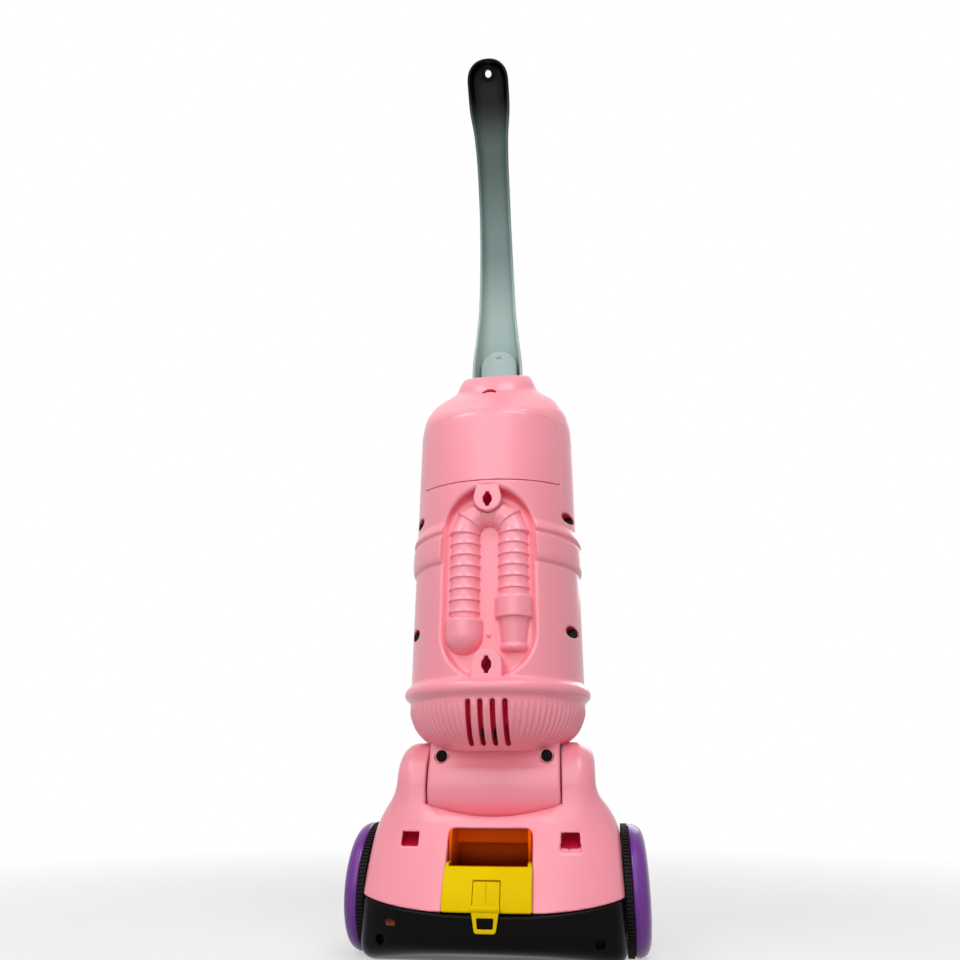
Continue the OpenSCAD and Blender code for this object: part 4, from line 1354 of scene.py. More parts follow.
    def holes(self, x: Arr, y: Arr, z: Arr, hull: Arr) -> Arr:
        """Wells behind the keyholes, screw bores, sound slots and the snap's window.

        Args:
            x: X in millimetres.
            y: Y in millimetres.
            z: Z in millimetres.
            hull: Field of the body's outside.

        Returns:
            The field.
        """
        sx, sy, sz = self.snap_at
        bow = self.snap_bow * (x - sx) ** 2
        snap = block(x - sx, y - sy, z - sz + bow, self.snap_half, self.snap_round)
        lane = np.abs(x) - self.slot_pitch * np.clip(np.floor(np.abs(x) / self.slot_pitch) + 0.5, 0.5, 1.5)
        slot = pill(np.abs(lane) - self.slot_half, np.abs(z - self.slot_z) - self.slot_h, self.slot_half)
        slot = np.maximum(np.maximum(slot, -self.slot_deep - hull), y - self.slot_front)
        field = np.minimum(snap, slot)
        for up in (self.key_high, self.key_low):
            well = np.maximum(np.hypot(x, z - up) - self.well_r, np.abs(y - self.well_y) - self.well_half)
            field = np.minimum(field, well)
        for up in self.screw_zs:
            bore = np.hypot(np.abs(x) - self.screw_x, z - up) - self.bore_r
            field = np.minimum(field, np.maximum(bore, y - self.bore_end))
        return field

    def mark(self, rear: bpy.types.Object, relief: bpy.types.Object) -> None:
        """Marks the walls of the holes and the recess's upper wall, where the finish paints shade.

        Args:
            rear: Rear shell.
            relief: Hose and bosses.
        """
        x, y, z = Bench.points_of(rear).T
        hull = self.hull(x, y, z)
        # painted shade on the walls of the sound slots, screw bores, keyhole wells and the snap window
        walls = (1 - fade(np.abs(self.holes(x, y, z, hull)), 0.3, 0.9)) * fade(-hull, 0.5, 2.2)
        # weaker painted shade on the upper wall of the recess
        arch = (1 - fade(np.abs(self.oval(x, z)), 1.0, 5.0)) * fade(z, *self.arch_z)
        arch = arch * fade(-hull, 0.5, 3.0)
        Bench.tag(rear, "inside", np.maximum(walls, arch * self.arch_shade))
        x, y, z = Bench.points_of(relief).T
        # painted shade in the keyhole slots
        key = np.minimum(np.abs(self.keyhole(x, z - self.key_high)),
                         np.abs(self.keyhole(x, z - self.key_low)))
        Bench.tag(relief, "inside", (1 - fade(key, 0.25, 0.7)) * fade(y - self.boss_y, 0.4, 1.6))

    def socket_room(self, x: Arr, y: Arr, z: Arr) -> Arr:
        """Room for the handle's foot in the collar.

        Args:
            x: X in millimetres.
            y: Y in millimetres.
            z: Z in millimetres.

        Returns:
            The field.
        """
        n = self.socket_power
        front = (np.abs(x) / self.socket_half) ** n
        front = front + (np.maximum(y - self.socket_y, 0.0) / self.socket_deep) ** n
        plan = np.maximum((front ** (1 / n) - 1) * self.socket_scale, self.socket_back - y)
        return np.maximum(plan, self.socket_z - z)

    def front_form(self, x: Arr, y: Arr, z: Arr) -> Arr:
        """Front shell with the hole of the power button.

        Args:
            x: X in millimetres.
            y: Y in millimetres.
            z: Z in millimetres.

        Returns:
            The field.
        """
        form = self.hull(x, y, z)
        r = np.hypot(x, z - self.button_z)
        ring = np.abs(r - self.button_r - self.ring_out) - self.ring_half
        form = carve(form, np.maximum(ring, self.ring_y - y), self.button_edge)
        bore = np.maximum(r - self.button_r - self.button_gap, self.button_bore_y - y)
        form = carve(form, bore, self.button_edge)
        return carve(form, self.socket_room(x, y, z), self.socket_edge)

    def cover_form(self, x: Arr, y: Arr, z: Arr) -> Arr:
        """Curved battery cover with a fine rounded edge."""
        face = np.maximum(self.hull(x, y, z), self.body_r - self.cover_t - np.hypot(x, y))
        return soft_max(self.cover_field(x, y, z, 0.0, 0.0), face, self.cover_edge)

    def button_form(self, x: Arr, y: Arr, z: Arr) -> Arr:
        """Push button with a dished face.

        Args:
            x: X in millimetres.
            y: Y in millimetres.
            z: Z in millimetres.

        Returns:
            The field.
        """
        r = np.hypot(x, z - self.button_z)
        face = y - self.face_y + self.face_dish * (1 - np.clip(r / self.dish_r, 0, 1) ** 2)
        cap = soft_max(r - self.button_r, face, self.face_round)
        return soft_max(cap, self.button_in - y, self.back_round)

    def build(self, finishes: Finishes) -> None:
        """Moulds and dresses the pieces.

        Args:
            finishes: Finishes of the toy.
        """
        rear = Bench.moulded("rear_shell_body", self.rear_form, (-61, -61, 107.5), (61, 0, 385), 0.9,
                             flat_y=-self.seam)
        finishes.dress(rear, Slot.PINK, Body.UPRIGHT, "rear_shell")
        relief = Bench.moulded("rear_shell_hose", self.relief_form, (-29, -58, 140), (29, -41, 272), 0.5)
        finishes.dress(relief, Slot.PINK, Body.UPRIGHT, "rear_shell")
        self.mark(rear, relief)
        front = Bench.moulded("front_shell_body", self.front_form, (-61, 0, 107.5), (61, 61, 399), 1.0,
                              flat_y=self.seam)
        finishes.dress(front, Slot.PINK, Body.UPRIGHT, "front_shell")
        cover = Bench.moulded("battery_cover_panel", self.cover_form, (-55, -57, 271), (55, -24, 326), 0.6)
        finishes.dress(cover, Slot.PINK, Body.UPRIGHT, "battery_cover")
        button = Bench.moulded("power_button_cap", self.button_form, (-9, 49, 288), (9, 59, 308), 0.45)
        finishes.dress(button, Slot.PURPLE, Body.BUTTON, "power_button")


# ---------------------------------------------------------------- hinge


class CopyTree:
    """Geometry Nodes tree that puts copies of a template on every point of a mesh."""

    def __init__(self, name: str) -> None:
        """Builds the tree with named inputs.

        Args:
            name: Name of what is made.
        """
        tree = bpy.data.node_groups.new(name, "GeometryNodeTree")
        face = tree.interface
        face.new_socket("Places", in_out="INPUT", socket_type="NodeSocketGeometry")
        self.template = face.new_socket("Template", in_out="INPUT", socket_type="NodeSocketObject").identifier
        self.finish = face.new_socket("Finish", in_out="INPUT", socket_type="NodeSocketMaterial").identifier
        face.new_socket("Copies", in_out="OUTPUT", socket_type="NodeSocketGeometry")
        given, result = tree.nodes.new("NodeGroupInput"), tree.nodes.new("NodeGroupOutput")
        info = tree.nodes.new("GeometryNodeObjectInfo")
        copies = tree.nodes.new("GeometryNodeInstanceOnPoints")
        real = tree.nodes.new("GeometryNodeRealizeInstances")
        dress = tree.nodes.new("GeometryNodeSetMaterial")
        link = tree.links.new
        link(given.outputs["Template"], info.inputs["Object"])
        link(given.outputs["Places"], copies.inputs["Points"])
        link(info.outputs["Geometry"], copies.inputs["Instance"])
        link(copies.outputs[0], real.inputs[0])
        link(real.outputs[0], dress.inputs["Geometry"])
        link(given.outputs["Finish"], dress.inputs["Material"])
        link(dress.outputs[0], result.inputs[0])
        self.tree = tree

    def place(self, name: str, template: bpy.types.Object, spots: list[Triple],
              finish: bpy.types.Material) -> bpy.types.Object:
        """Makes one piece of copies.

        Args:
            name: Name of the piece.
            template: Mesh made about the tilt axis' origin, removed afterwards.
            spots: Places of the copies in millimetres about the tilt axis.
            finish: Material of the copies.

        Returns:
            The piece as a plain mesh.
        """
        obj = Bench.piece(name, np.array(spots), [])
        work = obj.modifiers.new("copies", "NODES")
        work.node_group = self.tree
        work[self.template] = template
        work[self.finish] = finish
        Bench.bake(obj)
        bpy.data.objects.remove(template)
        return obj


@dataclass
class Hinge:
    """Barrel and neck under the body, with its two screws. Sizes in millimetres."""

    barrel_r: float = 25.0
    half_l: float = 39.7
    neck_y: float = 22.0
    neck_z: float = 116.2
    screw_x: float = 32.0
    screw_z: float = 106.6
    head_r: float = 3.4

    def form(self, x: Arr, y: Arr, z: Arr) -> Arr:
        """Barrel with the neck that leans in towards the bowl.

        Args:
            x: X in millimetres.
            y: Y in millimetres.
            z: Z in millimetres.

        Returns:
            The field.
        """
        ax = np.abs(x)
        barrel = pill(np.hypot(y, z - HINGE_Z) - self.barrel_r, ax - self.half_l, 2.0)
        face = np.abs(y) - self.neck_y + 0.3 * np.maximum(z - 101.9, 0.0)
        stem = soft_max(soft_max(face, ax - self.half_l, 2.4), np.maximum(z - self.neck_z, HINGE_Z - z), 2.0)
        form = soft_min(barrel, stem, 0.4)
        seat = np.maximum(np.hypot(ax - self.screw_x, z - self.screw_z) - 4.2, y + self.neck_y - 2.0)
        return carve(form, seat, 0.6)

    def screw_form(self, x: Arr, y: Arr, z: Arr) -> Arr:
        """Domed screw head with a cross, face towards -Y, about the origin.

        Args:
            x: X in millimetres.
            y: Y in millimetres.
            z: Z in millimetres.

        Returns:
            The field.
        """
        r = np.hypot(x, z)
        dome = np.sqrt(r * r + (y - 5.0) ** 2) - 7.0
        head = soft_max(soft_max(r - self.head_r, dome, 0.6), y - 0.8, 0.3)
        arm = np.maximum(np.minimum(np.abs(x), np.abs(z)) - 0.42, np.maximum(np.abs(x), np.abs(z)) - 2.0)
        head = carve(head, np.maximum(arm, y + 0.6), 0.25)
        shank = np.maximum(r - 1.5, np.abs(y - 4.0) - 4.0)
        return np.minimum(head, shank)

    def build(self, finishes: Finishes, copies: CopyTree) -> None:
        """Moulds and dresses the pieces.

        Args:
            finishes: Finishes of the toy.
            copies: Tree that places the screws.
        """
        neck = Bench.moulded("hinge_neck_block", self.form, (-41, -26.5, 63), (41, 26.5, 118), 0.62)
        finishes.dress(neck, Slot.PINK, Body.UPRIGHT, "hinge_neck")
        template = Bench.moulded("neck_screw_template", self.screw_form, (-4, -2.4, -4), (4, 8.4, 4), 0.24)
        template.data.transform(Matrix.Translation((0, -AXIS_Y * MM, 0)))
        spots = [(s * self.screw_x, -self.neck_y + 1.7, self.screw_z) for s in (-1, 1)]
        screws = copies.place("neck_screw_pair", template, spots, finishes.by_slot[Slot.BLACKENED])
        finishes.dress(screws, Slot.BLACKENED, Body.UPRIGHT, "neck_screws")


# ---------------------------------------------------------------- head


@dataclass
class Head:
    """Casing with ears, and the black base. Sizes in millimetres."""

    half_w: float = 73.0
    plan_r: float = 75.0
    rear: float = 24.0
    rear_bulge: float = 28.0
    front: float = 62.0
    front_bulge: float = 33.0
    seam_z: float = 28.0
    seam_rise: float = 6.0
    top_z: float = 80.0
    side_drop: float = 13.0
    side_run: float = 11.0
    lean: float = 23.0
    roof_y: float = 18.0
    floor_z: float = 1.2
    ear_x0: float = 40.2
    ear_x1: float = 60.2
    ear_r: float = 25.0
    barrel_room: float = 25.8
    mouth_half: float = 23.6
    mouth_top: float = 67.6
    window_x: float = 45.7
    window_shift: float = -0.9
    window_z: float = 62.0
    lip_dip: float = 7.0
    roof_round: float = 10.0
    side_round: float = 3.0
    ear_round: float = 11.0
    ear_fillet: float = 6.0
    ear_edge: float = 1.2

    HOOD_Y = (0.0, 0.18, 0.38, 0.58, 0.76, 0.9, 0.98, 1.0)
    HOOD_Z = (1.0, 0.97, 0.88, 0.72, 0.54, 0.38, 0.2, 0.0)
    HOOD_SMOOTH = (12, 5.0)

    def __post_init__(self) -> None:
        """Smooths the line of the hood."""
        self.line_t = np.linspace(0, 1, 201)
        self.line = np.interp(self.line_t, self.HOOD_Y, self.HOOD_Z)
        smooth_middle(self.line, *self.HOOD_SMOOTH)
        self.line_slope = np.abs(np.gradient(self.line, self.line_t))

    def bow(self, x: Arr) -> Arr:
        """Plan curve of the front and rear, 1 in the middle."""
        return np.sqrt(np.clip(1 - (x / self.plan_r) ** 2, 0.02, 1.0))

    def seam(self, x: Arr) -> Arr:
        """Height of the seam between casing and base."""
        return self.seam_z + self.seam_rise * np.clip(np.abs(x) / self.half_w, 0, 1.1) ** 3

    def rear_line(self, x: Arr, z: Arr) -> Arr:
        """Y of the leaning rear wall."""
        run = math.tan(math.radians(self.lean)) * (z - self.seam(x))
        return -(self.rear + self.rear_bulge * self.bow(x)) + run

    def shell(self, x: Arr, y: Arr, z: Arr) -> Arr:
        """Casing without its ears and openings.

        Args:
            x: X in millimetres.
            y: Y in millimetres.
            z: Z in millimetres.

        Returns:
            The field.
        """
        ax = np.abs(x)
        seam = self.seam(x)
        t = np.maximum(0, ax - (self.half_w - self.side_run)) / self.side_run
        top = self.top_z - self.side_drop * np.minimum(t, 1.2) ** 2
        reach = self.front + self.front_bulge * self.bow(x) - self.roof_y
        along = np.clip((y - self.roof_y) / reach, 0, 1)
        roof = seam + (top - seam) * np.interp(along, self.line_t, self.line)
        fall = np.interp(along, self.line_t, self.line_slope) * (top - seam) / reach
        side_fall = 2 * self.side_drop * np.minimum(t, 1.2) / self.side_run
        over = (z - roof) / np.sqrt(1 + fall ** 2 + side_fall ** 2)
        over = np.maximum(over, y - self.roof_y - reach)
        form = soft_max(self.behind(x, y, z), over, self.roof_round)
        return soft_max(form, ax - self.half_w, self.side_round)

    def ears(self, x: Arr, y: Arr, z: Arr) -> Arr:
        """Two ears that hold the barrel.

        Args:
            x: X in millimetres.
            y: Y in millimetres.
            z: Z in millimetres.

        Returns:
            The field.
        """
        ax = np.abs(x)
        knob = pill(np.hypot(y, z - HINGE_Z) - self.ear_r, ax - self.ear_x1, self.ear_round)
        foot = block(ax - 48.0, y, z - 71.0, (11.0, 21.0, 19.0), 7.0)
        return soft_max(soft_min(knob, foot, self.ear_fillet), self.ear_x0 - ax, self.ear_edge)

    def casing_form(self, x: Arr, y: Arr, z: Arr) -> Arr:
        """Casing with ears, barrel room, bin mouth and windows.

        Args:
            x: X in millimetres.
            y: Y in millimetres.
            z: Z in millimetres.

        Returns:
            The field.
        """
        ax = np.abs(x)
        form = soft_min(self.shell(x, y, z), self.ears(x, y, z), 10.0)
        form = soft_max(form, self.seam(x) + 0.1 - z, 0.9)
        room = np.maximum(np.hypot(y, z - HINGE_Z) - self.barrel_room, ax - self.ear_x0)
        dip = self.lip_dip * (1 - (x / self.ear_x0) ** 2) * (1 - fade(y, 4.0, 14.0))
        above = np.maximum(ax - self.ear_x0, self.top_z + 0.4 - dip - z)
        front_room = block(x, y - 6.6, z - 77.5, (self.ear_x0, 19.2, 12.5), 0.5)
        form = carve(form, np.minimum(np.minimum(room, above), front_room), 1.6)
        mouth = np.maximum(pill(ax - self.mouth_half, z - self.mouth_top, 3.6), y + 15.0)
        deep = np.maximum(np.maximum(ax - 23.8, z - 61.8), y + 3.4)
        form = carve(form, np.minimum(mouth, deep), 1.4)
        return self.windows(form, x, y, z)

    def behind(self, x: Arr, y: Arr, z: Arr) -> Arr:
        """Distance behind the leaning rear wall."""
        return (self.rear_line(x, z) - y) * math.cos(math.radians(self.lean))

    def window_rooms(self, x: Arr, y: Arr, z: Arr) -> Arr:
        """Rooms of the two snap windows, each with a ramp.

        Args:
            x: X in millimetres.
            y: Y in millimetres.
            z: Z in millimetres.

        Returns:
            The field.
        """
        across, up = np.abs(np.abs(x - self.window_shift) - self.window_x), z - self.window_z
        window = np.maximum(pill(across - 5.2, np.abs(up) - 3.6, 0.7), y + 20.0)
        room = np.maximum(np.maximum(across - 8.0, np.abs(up + 0.5) - 6.0),
                          np.maximum(y + 9.0, 2.6 + self.behind(x, y, z)))
        ramp = np.maximum(np.abs(across - 1.0) - 5.0, z - (55.6 + 0.42 * (y + 34.0)))
        return np.maximum(np.minimum(window, room), -ramp)

    def windows(self, form: Arr, x: Arr, y: Arr, z: Arr) -> Arr:
        """Cuts the two snap windows, their rooms, whose walls get painted shade, and the bevel below the
        right one.

        Args:
            form: Field of the casing.
            x: X in millimetres.
            y: Y in millimetres.
            z: Z in millimetres.

        Returns:
            The cut field.
        """
        across, up = np.abs(np.abs(x - self.window_shift) - self.window_x), z - self.window_z
        behind = self.behind(x, y, z)
        form = carve(form, self.window_rooms(x, y, z), 0.7)
        cut = np.maximum(np.maximum(across - 5.6, up + 2.0), (-behind - 0.7 * (up + 6.4)) / 1.22)
        return carve(form, np.where(x > 0, cut, 9.0), 0.6)

    def base_form(self, x: Arr, y: Arr, z: Arr) -> Arr:
        """Base with a bumper round its rear and the nozzle's mouth below.

        Args:
            x: X in millimetres.
            y: Y in millimetres.
            z: Z in millimetres.

        Returns:
            The field.
        """
        ax = np.abs(x)
        low = self.rear + self.rear_bulge * self.bow(x)
        form = soft_max(-y - low - 1.0, y - self.front - self.front_bulge * self.bow(x), 6.0)
        form = soft_max(form, ax - self.half_w, 6.0)
        rise = self.floor_z + 8.6 * fade(-y, 18.0, 52.0)
        form = soft_max(form, rise - z, 9.0)
        form = soft_max(form, z - self.seam(x) + 0.15, 1.6)
        mouth = block(x, y - 70.0, z - self.floor_z, (52.0, 9.0, 14.0), 2.0)
        form = carve(form, mouth, 1.0)
        tray = np.maximum(np.maximum(ax - 24.0, 27.9 - z), np.maximum(y + 3.0, -99 - y))
        form = carve(form, tray, 0.5)
        pit = np.maximum(np.hypot(ax - 58.4, z - 14.2) - 2.5, y + 32.0)
        return carve(form, np.minimum(pit, self.base_slot(x, y, z)), 0.5)

    @staticmethod
    def base_slot(x: Arr, y: Arr, z: Arr) -> Arr:
        """Small slot on the left of the base's rear."""
        return np.maximum(pill(np.abs(x + 52.6) - 2.0, np.abs(z - 22.7) - 0.7, 0.4), y + 42.8)

    def build(self, finishes: Finishes) -> None:
        """Moulds and dresses the pieces.

        Args:
            finishes: Finishes of the toy.
        """
        casing = Bench.moulded("head_casing", self.casing_form, (-74.5, -54, 26), (74.5, 97, 116.5), 0.98)
        x, y, z = Bench.points_of(casing).T
        # painted shade: the walls of the window rooms take the deep crimson of the pink finish
        walls = 1 - fade(np.abs(self.window_rooms(x, y, z)), 0.3, 1.0)
        Bench.tag(casing, "inside", walls * fade(-self.behind(x, y, z), 0.6, 2.0))
        finishes.dress(casing, Slot.PINK, Body.HEAD, "head_upper")
        base = Bench.moulded("head_base_tray", self.base_form, (-74.5, -55, 0), (74.5, 97, 37), 0.98)
        # painted light: the walls of the base slot take a lighter brown than the black
        Bench.tag(base, "inside", 1 - fade(np.abs(self.base_slot(*Bench.points_of(base).T)), 0.2, 0.7))
        finishes.dress(base, Slot.BLACK, Body.HEAD, "head_base")


# ---------------------------------------------------------------- bin


@dataclass
class Bin:
    """Pull-out bin with its spring latch. Sizes in millimetres."""

    half_w: float = 23.2
    lip_half: float = 24.2
    floor_z: float = 28.6
    wall: float = 1.8
    lip_t: float = 3.4
    wall_z: float = 61.0
    high_z: float = 67.0
    step_y: float = -15.6
    lip_z: float = 50.0
    rear: float = -52.0
    front: float = -4.0
    lean: float = 23.0
    fall: float = 0.9
    proud: float = 0.6
    crown: float = 2.4
    latch_half: float = 7.4
    latch_t: float = 1.6
    latch_top: float = 42.8
    latch_room: float = 0.6
    seat_deep: float = 1.8
    latch_low: float = 19.8
    loop_y: float = -53.5
    ridge_z: float = 30.8

    def line(self, x: Arr, z: Arr) -> Arr:
        """Y of the lip's outer face, crowned in height and falling back towards both sides."""
        flat = self.rear - self.proud + math.tan(math.radians(self.lean)) * (z - 28.0)
        return flat + self.fall * (x / self.half_w) ** 2 - self.crown * (1 - ((z - 40.0) / 12.0) ** 2)

    def behind(self, x: Arr, y: Arr, z: Arr) -> Arr:
        """Distance behind the lip's outer face, negative inside."""
        return (self.line(x, np.clip(z, 20.0, 52.0)) - y) * math.cos(math.radians(self.lean))

    def room(self, x: Arr, y: Arr, z: Arr) -> Arr:
        """Space inside the bin.

        Args:
            x: X in millimetres.
            y: Y in millimetres.
            z: Z in millimetres.

        Returns:
            The field.
        """
        lip = np.minimum(self.behind(x, y, z) + self.lip_t, self.lip_z - z)
        bridge = np.maximum(np.abs(y - self.step_y + 0.85) - 0.85, 59.5 - z)
        sides = np.maximum(np.abs(x) - self.half_w + self.wall, self.floor_z + self.wall - z)
        return np.maximum(np.maximum(sides, np.maximum(y - self.front + self.wall, lip)), -bridge)

    def bin_form(self, x: Arr, y: Arr, z: Arr) -> Arr:
        """Bin with a crowned lip, two nubs and a seat for the latch.

        Args:
            x: X in millimetres.
            y: Y in millimetres.
            z: Z in millimetres.

        Returns:
            The field.
        """
        ax = np.abs(x)
        rear = self.behind(x, y, z)
        flange = (self.lip_half - self.half_w) * fade(rear, -1.5, -1.1)
        form = soft_max(soft_max(ax - self.half_w - flange, rear, 1.0), y - self.front, 1.5)
        form = soft_max(soft_max(form, self.floor_z - z, 1.2), z - self.high_z, 0.8)
        form = carve(form, np.maximum(self.wall_z - z, self.step_y - y), 0.6)
        form = carve(form, np.maximum(self.lip_z - z, -rear - 4.0), 1.6)
        form = carve(form, self.room(x, y, z), 0.8)
        nub = np.sqrt((ax - 22.4) ** 2 + (y - self.line(x, 50.0 + 0 * x) - 1.6) ** 2 + (z - 50.2) ** 2) - 1.4
        above = z - self.latch_top - self.latch_room
        seat = np.maximum(np.maximum(ax - self.latch_half - 0.1, above), -rear - self.seat_deep)
        return carve(soft_min(form, nub, 0.6), seat, 0.4)

    def latch_form(self, x: Arr, y: Arr, z: Arr) -> Arr:
        """Spring tab with a ridge and a loop below.

        Args:
            x: X in millimetres.
            y: Y in millimetres.
            z: Z in millimetres.

        Returns:
            The field.
        """
        ax = np.abs(x)
        jog = fade(z, 28.6, 31.4)
        back = self.loop_y * (1 - jog) + (self.line(x, np.maximum(z, 28.0)) + 1.25) * jog
        half = self.latch_half - 1.6 * np.clip((29.0 - z) / (29.0 - self.latch_low), 0, 1)
        tab = np.maximum(np.maximum(y - back, back - self.latch_t - y) * 0.92, ax - half)
        tab = soft_max(tab, pill(z - self.latch_top, ax - half, 1.2), 0.6)
        tab = soft_max(tab, pill(self.latch_low - z, ax - half, 1.6), 0.6)
        bar = np.hypot(y - self.loop_y + 0.9, (z - self.ridge_z) * 0.75) - 1.25
        tab = soft_min(tab, np.maximum(bar, ax - half - 0.2), 0.5)
        groove = np.maximum(ax - 0.25, y - back + self.latch_t - 0.3)
        tab = carve(tab, np.maximum(groove, self.ridge_z + 2.0 - z), 0.2)
        hole = pill(ax - 4.7 + 0.1 * (28.0 - z), np.abs(z - 24.3) - 2.5, 0.7)
        return carve(tab, hole, 0.5)

    def build(self, finishes: Finishes) -> None:
        """Moulds and dresses the pieces, and marks the bin's inside for its finish's painted shade.

        Args:
            finishes: Finishes of the toy.
        """
        tray = Bench.moulded("dust_bin_tray", self.bin_form, (-25.5, -55, 27), (25.5, -2, 67), 0.52)
        x, y, z = Bench.points_of(tray).T
        # painted shade on the bin's inside walls and on all of it above the lip, which sits in the casing's
        # shade
        near = 1 - fade(np.abs(self.room(x, y, z)), 0.25, 0.7)
        Bench.tag(tray, "inside", np.maximum(near, fade(z, self.lip_z + 0.8, self.lip_z + 1.8)))
        finishes.dress(tray, Slot.YELLOW, Body.BIN, "dust_bin")
        latch = Bench.moulded("bin_latch_tab", self.latch_form, (-9, -58, 18.5), (9, -42, 45), 0.3)
        finishes.dress(latch, Slot.YELLOW, Body.LATCH, "bin_latch")


# ---------------------------------------------------------------- wheels


class TreadTree:
    """Geometry Nodes tree that sets teeth round a ring about an axis along X."""

    def __init__(self, name: str) -> None:
        """Builds the tree with named inputs.

        Args:
            name: Name of what is made.
        """
        tree = bpy.data.node_groups.new(name, "GeometryNodeTree")
        face = tree.interface
        face.new_socket("Ring", in_out="INPUT", socket_type="NodeSocketGeometry")
        kinds = (("Teeth", "NodeSocketInt"), ("Radius", "NodeSocketFloat"), ("Tooth", "NodeSocketVector"),
                 ("Centre", "NodeSocketVector"), ("Finish", "NodeSocketMaterial"))
        self.keys = {n: face.new_socket(n, in_out="INPUT", socket_type=k).identifier for n, k in kinds}
        face.new_socket("Tread", in_out="OUTPUT", socket_type="NodeSocketGeometry")
        add, link = tree.nodes.new, tree.links.new
        given, result = add("NodeGroupInput"), add("NodeGroupOutput")
        circle, move = add("GeometryNodeMeshCircle"), add("GeometryNodeTransform")
        tooth = add("GeometryNodeMeshCube")
        copies, index = add("GeometryNodeInstanceOnPoints"), add("GeometryNodeInputIndex")
        step, angle, turn = add("ShaderNodeMath"), add("ShaderNodeMath"), add("ShaderNodeCombineXYZ")
        join, real = add("GeometryNodeJoinGeometry"), add("GeometryNodeRealizeInstances")
        dress = add("GeometryNodeSetMaterial")
        step.operation, angle.operation = "DIVIDE", "MULTIPLY"
        step.inputs[0].default_value = 2 * math.pi
        move.inputs["Rotation"].default_value = (math.pi / 2, 0, math.pi / 2)
        link(given.outputs["Teeth"], circle.inputs["Vertices"])
        link(given.outputs["Radius"], circle.inputs["Radius"])
        link(circle.outputs[0], move.inputs["Geometry"])
        link(given.outputs["Centre"], move.inputs["Translation"])
        link(given.outputs["Tooth"], tooth.inputs["Size"])
        link(given.outputs["Teeth"], step.inputs[1])
        link(index.outputs[0], angle.inputs[0])
        link(step.outputs[0], angle.inputs[1])
        link(angle.outputs[0], turn.inputs["X"])
        link(move.outputs[0], copies.inputs["Points"])
        link(tooth.outputs[0], copies.inputs["Instance"])
        link(turn.outputs[0], copies.inputs["Rotation"])
        link(given.outputs["Ring"], join.inputs[0])
        link(copies.outputs[0], join.inputs[0])
        link(join.outputs[0], real.inputs[0])
        link(real.outputs[0], dress.inputs["Geometry"])
        link(given.outputs["Finish"], dress.inputs["Material"])
        link(dress.outputs[0], result.inputs[0])
        self.tree = tree

    def apply(self, ring: bpy.types.Object, **values: object) -> bpy.types.Object:
        """Sets teeth on a ring.

        Args:
            ring: Plain ring.
            values: The tree's inputs by name.

        Returns:
            The toothed ring as a plain mesh.
        """
        work = ring.modifiers.new("tread", "NODES")
        work.node_group = self.tree
        for name, value in values.items():
            work[self.keys[name]] = value
        return Bench.bake(ring)


@dataclass
class Wheels:
    """Two domed wheels with toothed treads. Sizes in millimetres."""

    axle_y: float = 7.0
    axle_z: float = 34.5
    inner_x: float = 73.5
    tread_r: float = 34.5
    tread_w: float = 4.0
    drum_r: float = 29.9
    dome_r: float = 33.9
    dome_w: float = 10.5
    hub_r: float = 2.7
    teeth: int = 108
    tooth_d: float = 0.9

    DOME_R = (1.0, 1.01, 0.99, 0.93, 0.82, 0.6, 0.3, 0.0)
    DOME_H = (0.0, 0.25, 0.5, 0.74, 0.88, 0.96, 0.99, 1.0)
    DOME_SMOOTH = (6, 2.6)

    def dome(self) -> Arr:
        """Smooth line of the dome, as rows of radius and distance outwards.

        Returns:
            The line.
        """
        knots = np.array([self.DOME_R, self.DOME_H]).T * (self.dome_r, self.dome_w)
        chord = np.r_[0, np.cumsum(np.linalg.norm(np.diff(knots, axis=0), axis=1))]
        t = np.linspace(0, chord[-1], 72)
        line = np.stack([np.interp(t, chord, knots[:, k]) for k in (0, 1)], 1)
        for k in (0, 1):
            smooth_middle(line[:, k], *self.DOME_SMOOTH)
        return line

    def profile(self) -> Arr:
        """Closed profile of a wheel.

        Returns:
            Rows of radius and X.
        """
        start = self.tread_w + 0.15
        dome = self.dome() + (0, start)
        head = np.array([[self.hub_r, 0.4], [self.drum_r - 1.2, 0.4], [self.drum_r, 1.2],
                         [self.drum_r, start], [self.dome_r - 1.0, start], [self.dome_r - 0.2, start + 0.4]])
        tail = np.array([[0.0, start + self.dome_w - 2.6], [self.hub_r, start + self.dome_w - 2.6]])
        return np.concatenate([head, dome[2:], tail])

    def ring(self) -> Arr:
        """Closed profile of a tread without its teeth.

        Returns:
            The field.
        """
        low, high, w = self.drum_r + 0.15, self.tread_r - self.tooth_d, self.tread_w
        return np.array([[low, 0.0], [high - 0.5, 0.0], [high, 0.5],
                         [high, w - 0.5], [high - 0.5, w], [low, w]])

    def build(self, finishes: Finishes) -> None:
        """Turns, toothes and dresses the pieces.

        Args:
            finishes: Finishes of the toy.
        """
        tread = TreadTree("tread_teeth")
        for side, sign, body in (("left", -1.0, Body.LEFT_WHEEL), ("right", 1.0, Body.RIGHT_WHEEL)):
            centre = (sign * self.inner_x, self.axle_y, self.axle_z)
            dome = Bench.turned(f"wheel_dome_{side}", self.profile(), centre, sign, 160)
            finishes.dress(dome, Slot.PURPLE, body, f"wheel_{side}")
            ring = Bench.turned(f"wheel_tread_{side}", self.ring(), centre, sign, 168)
            middle = (sign * (self.inner_x + self.tread_w / 2), self.axle_y, self.axle_z)
            radius = self.tread_r - self.tooth_d / 2 - 0.15
            tread.apply(ring, Teeth=self.teeth, Radius=radius * MM,
                        Tooth=tuple(v * MM for v in (self.tread_w - 0.3, self.tooth_d + 0.3, 1.0)),
                        Centre=tuple(Bench.to_frame(np.array(middle))), Finish=finishes.by_slot[Slot.TREAD])
            ring.data.set_sharp_from_angle(angle=math.radians(SHARP_DEG))
            finishes.dress(ring, Slot.TREAD, body, f"tyre_{side}")


# ---------------------------------------------------------------- handle


